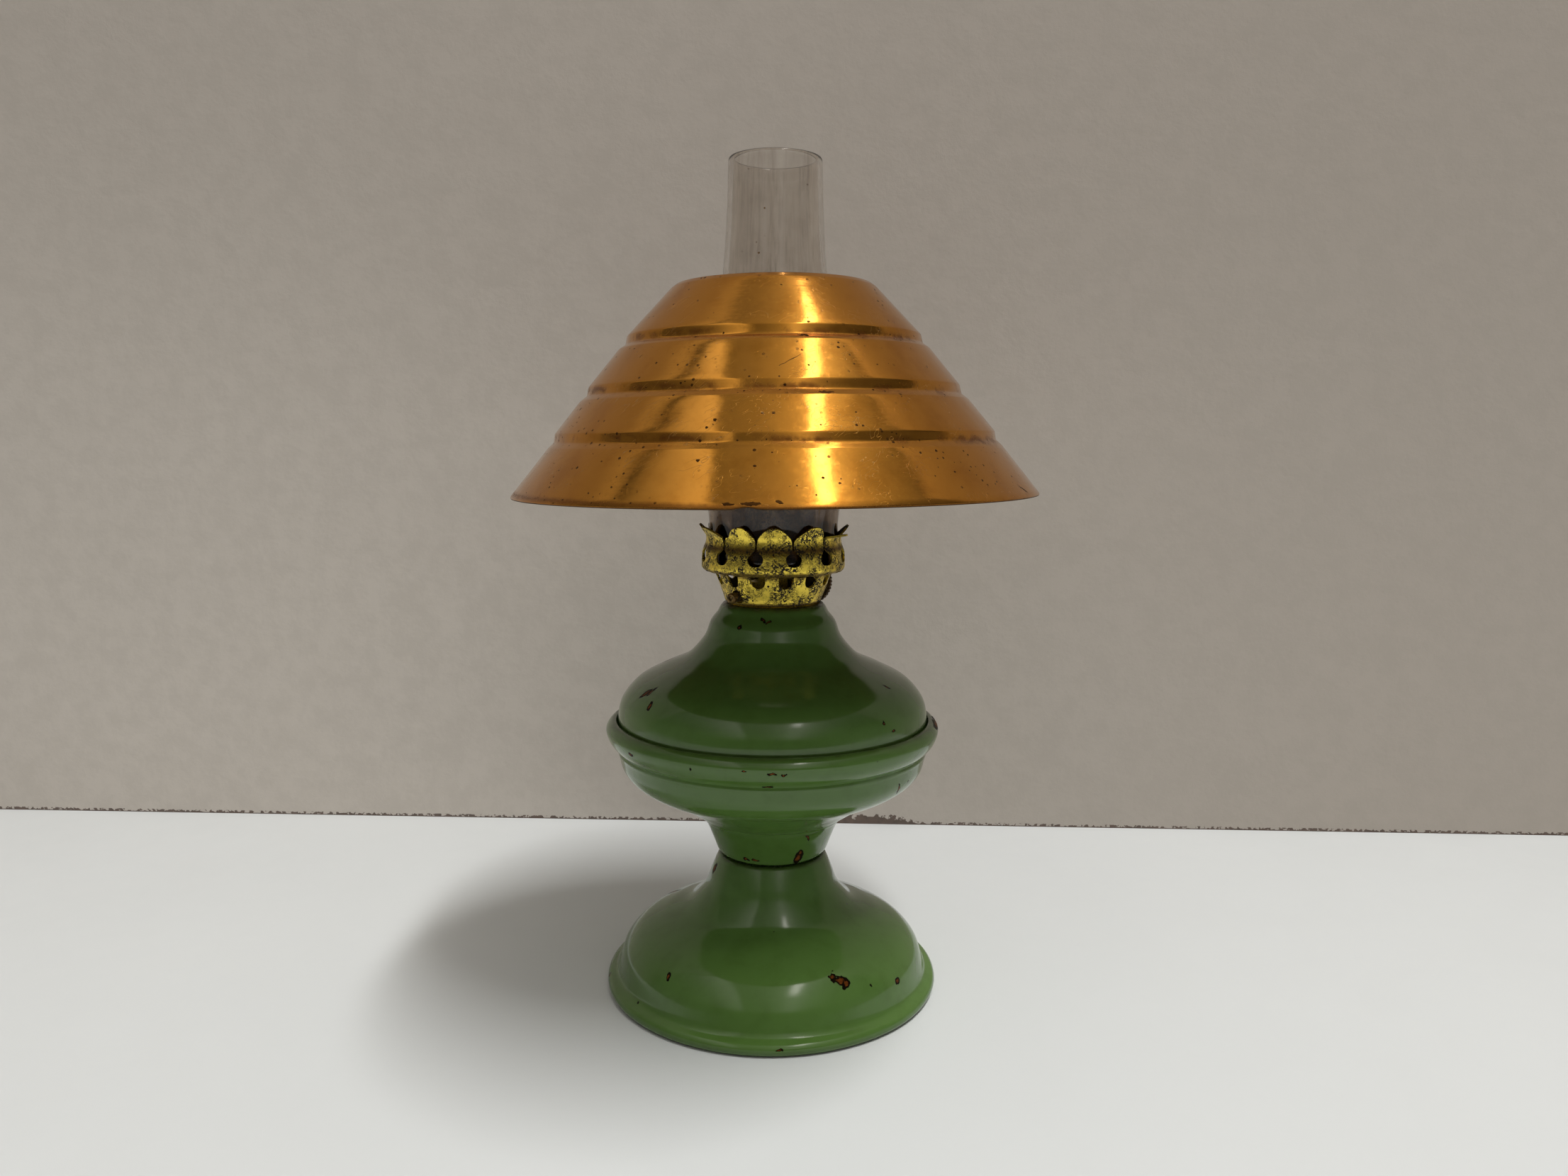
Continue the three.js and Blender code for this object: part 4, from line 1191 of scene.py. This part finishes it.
def make_wick():
    """A woven tape, ragged at its burnt edge."""
    tape = stadium(*WICK_SIZE, 8)
    loop = divided([*tape, tape[0]], 0.3)[:-1]
    heights = divided([(WICK_BOTTOM, 0), (WICK_TOP, 0)], 0.55)
    count = len(loop)
    vertices, faces = [], []
    for i, (z, _) in enumerate(heights):
        for j, (x, y) in enumerate(loop):
            relief = 0.035 * (-1) ** (i + j)
            ragged = 0.35 * noise(Vector((x, y * 3, 5)) * 1.3) if i > len(heights) - 3 else 0
            vertices.append(Vector((x, y * (1 - relief), z + min(0, ragged))))
    for i in range(len(heights) - 1):
        for j in range(count):
            k = (j + 1) % count
            faces.append((i * count + j, i * count + k, (i + 1) * count + k, (i + 1) * count + j))
    faces.append(tuple(reversed(range(count))))
    faces.append(tuple((len(heights) - 1) * count + j for j in range(count)))
    piece("woven_wick", along_wick((vertices, faces)), wick_cotton(), "wick", crease=70)


# The chimney and the shade


def make_chimney():
    outside = smooth(
        [(14.4, CHIMNEY_BOTTOM + 0.5), (14.48, 107), (15.6, 113.5), (17.9, 119.6), (18.8, 126.4),
         (17.6, 135), (14.3, 146), (12.2, 153.5), (11.2, 162.5), (10.5, 173), (10.14, CHIMNEY_TOP - 0.5)],
        1.0,
    )
    shape = warped(lathe(sheet(outside, GLASS_WALL), 160), dented(0.06, 12, 5))
    piece("glass_chimney", shape, sooty_glass(), "chimney", crease=70)


SHADE_STEPS = [124.9, 134.6, 145.4]


def make_shade():
    """Four spun bands; between two of them the wall drops down a riser and runs out over a ledge."""
    outside = [
        (SHADE_R - 0.1, SHADE_BOTTOM + 0.1), (49.4, 123.2),
        (48.1, 124.4), (47.8, 126.2), (42.2, 133.1),
        (40.7, 134.2), (40.3, 136.1), (33.8, 144.0),
        (32.3, 145), (31.9, 146.9), (22.3, 157.1),
        (21.2, 157.9), (19.4, SHADE_TOP), (12.3, SHADE_TOP),
    ]
    line = filleted(outside, 0.9, 1.3)
    hinge = Vector((0, 0, (SHADE_TOP + SHADE_BOTTOM) / 2))
    turn = Matrix.Rotation(math.radians(-SHADE_TILT), 3, "Y")
    uneven = dented(0.3, 26, 6)

    def move(v):
        angle = math.degrees(math.atan2(v.x, -v.y))
        edge = max(0, 1 - (v.z - SHADE_BOTTOM) / 1.2)
        nick = 0.35 * bell(angle + 4.5, 2.2) * edge
        return hinge + turn @ (uneven(v) + Vector((0, 0, nick)) - hinge)

    shape = warped(lathe(sheet(line, COPPER_SHEET), 256), move)
    piece("copper_shade", shape, copper(line, SHADE_STEPS), "shade", crease=50)


# The room


# Brightness of the ceiling from left to right, as (x of the direction, brightness).
CEILING_IN_FRONT = [
    (-0.95, 0.10), (-0.78, 0.16), (-0.62, 0.32), (-0.55, 0.5), (-0.46, 0.75), (-0.34, 1.1),
    (-0.31, 0.26), (-0.14, 0.35), (0.0, 0.5), (0.12, 0.8), (0.2, 1.3), (0.28, 1.3), (0.42, 0.6),
    (0.53, 0.35), (0.66, 0.16), (0.9, 0.08),
]
CEILING_OVERHEAD = [
    (-0.9, 0.09), (-0.49, 0.10), (-0.43, 0.17), (-0.27, 0.26), (-0.07, 0.26), (0.04, 0.36),
    (0.14, 1.0), (0.33, 1.0), (0.40, 0.45), (0.46, 0.16), (0.9, 0.08),
]
STRIP_STRENGTH = 6.5


def stage_sheet(name, corners, material):
    """A flat surface of the room, which isn't part of the lamp."""
    mesh = bpy.data.meshes.new(name)
    mesh.from_pydata(corners, [], [(0, 1, 2, 3)])
    mesh.materials.append(material)
    made = bpy.data.objects.new(name, mesh)
    bpy.context.scene.collection.objects.link(made)


def make_room():
    """A white table, a warm grey wall behind it, and a room whose ceiling lights the lamp.

    The lamp's key light doesn't show in reflections: the world's bright strip stands for it there.
    """
    span, front = 3.0, -0.6
    table = [(-span, front, 0), (span, front, 0), (span, span, 0), (-span, span, 0)]
    stage_sheet("table", table, table_top())
    height, half, back, slant = 1.2, 1.5, 0.106, 0.031
    left, right = back + half * slant, back - half * slant
    wall = [(-half, left, 0), (half, right, 0), (half, right, height), (-half, left, height)]
    stage_sheet("wall", wall, painted_wall())

    scene = bpy.context.scene
    scene.world = room_light()
    scene.view_settings.view_transform = "Standard"
    tube = bpy.data.lights.new("ceiling_tube", "AREA")
    distance, width, length = 1.5, 0.068, 0.66
    towards = Vector((0.243, -0.06, 0.968))
    tube.shape = "RECTANGLE"
    tube.size, tube.size_y = width * distance, length * distance
    tube.energy = 22.0
    tube.color = (1.0, 1.0, 0.985)
    light = bpy.data.objects.new("ceiling_tube", tube)
    light.location = towards * distance
    light.rotation_euler = (0, math.atan2(towards.x, towards.z), 0)
    light.visible_glossy = False
    scene.collection.objects.link(light)


def ramp(graph, value, steps):
    """A value read off a line of (position from -1 to 1, height) steps."""
    peak = max(height for _, height in steps)
    made = graph.tree.nodes.new("ShaderNodeValToRGB")
    elements = made.color_ramp.elements
    while len(elements) < len(steps):
        elements.new(1.0)
    for element, (position, height) in zip(elements, steps):
        element.position = (position + 1) / 2
        element.color = (*[height / peak] * 3, 1)
    graph.tree.links.new(graph.add(graph.times(value, 0.5), 0.5), made.inputs[0])
    return graph.times(made.outputs[0], peak)


def room_light():
    """Soft light from everywhere, dim on the camera's side, with a lit ceiling to be reflected.

    The ceiling is brightest along a strip that runs towards the wall, above and right of the lamp;
    a second bright panel with a hard inner edge lies above and left of it, in front of the lamp.
    """
    g = Graph(bpy.data.worlds.new("room"), "Generated", 1.0)
    near = g.remap(g.y, 0.10, 0.04)
    in_front = g.times(ramp(g, g.x, CEILING_IN_FRONT), near)
    overhead = g.times(ramp(g, g.x, CEILING_OVERHEAD), g.less(1.0, near))
    ceiling = g.times(g.add(in_front, overhead), g.remap(g.y, -0.9, -0.45, 0.7, 1.0))
    strip = g.times(g.remap(g.x, 0.18, 0.21), g.remap(g.x, 0.29, 0.26))
    strip = g.times(strip, g.times(g.remap(g.y, -0.6, -0.4), g.remap(g.y, 0.3, 0.1)))
    ceiling = g.add(ceiling, g.times(strip, STRIP_STRENGTH))
    sides = g.remap(g.y, -0.95, -0.3, 0.06, 0.16)
    above = g.remap(g.z, 0.15, 0.45)
    strength = g.add(g.times(ceiling, above), g.times(sides, g.less(1.0, above)))
    warm_white = (1.0, 0.955, 0.89, 1)
    background = g.node("ShaderNodeBackground", {"Color": warm_white, "Strength": strength})
    g.node("ShaderNodeOutputWorld", {"Surface": background})
    return g.owner


def make_camera():
    """A wide lens a quarter of a metre in front of the lamp, looking slightly down."""
    data = bpy.data.cameras.new("camera")
    data.sensor_width = 36
    data.lens = 26.17
    data.clip_start = 0.01
    camera = bpy.data.objects.new("camera", data)
    down, roll = 7.48, 0.37
    turn = Matrix.Rotation(math.radians(90 - down), 4, "X") @ Matrix.Rotation(math.radians(roll), 4, "Z")
    camera.matrix_world = Matrix.Translation((0.00242, -0.255, 0.125)) @ turn
    bpy.context.scene.collection.objects.link(camera)
    bpy.context.scene.camera = camera


make_camera()
make_room()

make_foot()
make_stem_cup()
make_font_bowl()
make_font_dome()

plain_brass = pitted_brass("brass", tarnish=0.3, pits=0.6)
# Each band at these heights is tarnish and painted shade.
basket_brass = pitted_brass("basket_brass", tarnish=0.25, tarnish_and_shade_bands=[(DECK, 0.9, 1.0), (BASKET_TOP, 1.0, 0.8)])
crown_brass = pitted_brass("crown_brass", tarnish=0.4, tarnish_and_shade_bands=[(101.2, 1.2, 1.0), (96.0, 0.8, 0.9)])
shaft_brass = pitted_brass("shaft_brass", bright=(0.30, 0.20, 0.07), tarnish=0.8)
dark_brass = blackened_brass()
make_collar(plain_brass)
make_skirt(plain_brass)
make_basket(basket_brass)
make_crown(crown_brass)
make_diffuser(plain_brass)
make_deflector()
make_winder(shaft_brass, dark_brass)
make_bush(plain_brass)
make_wick()
make_chimney()
make_shade()

for node, material in (("stem_rivet", dull_steel()), ("wick_tube", plain_brass), ("spur_cover", plain_brass)):
    for slot in frame["nodes"][node].material_slots:
        slot.material = material
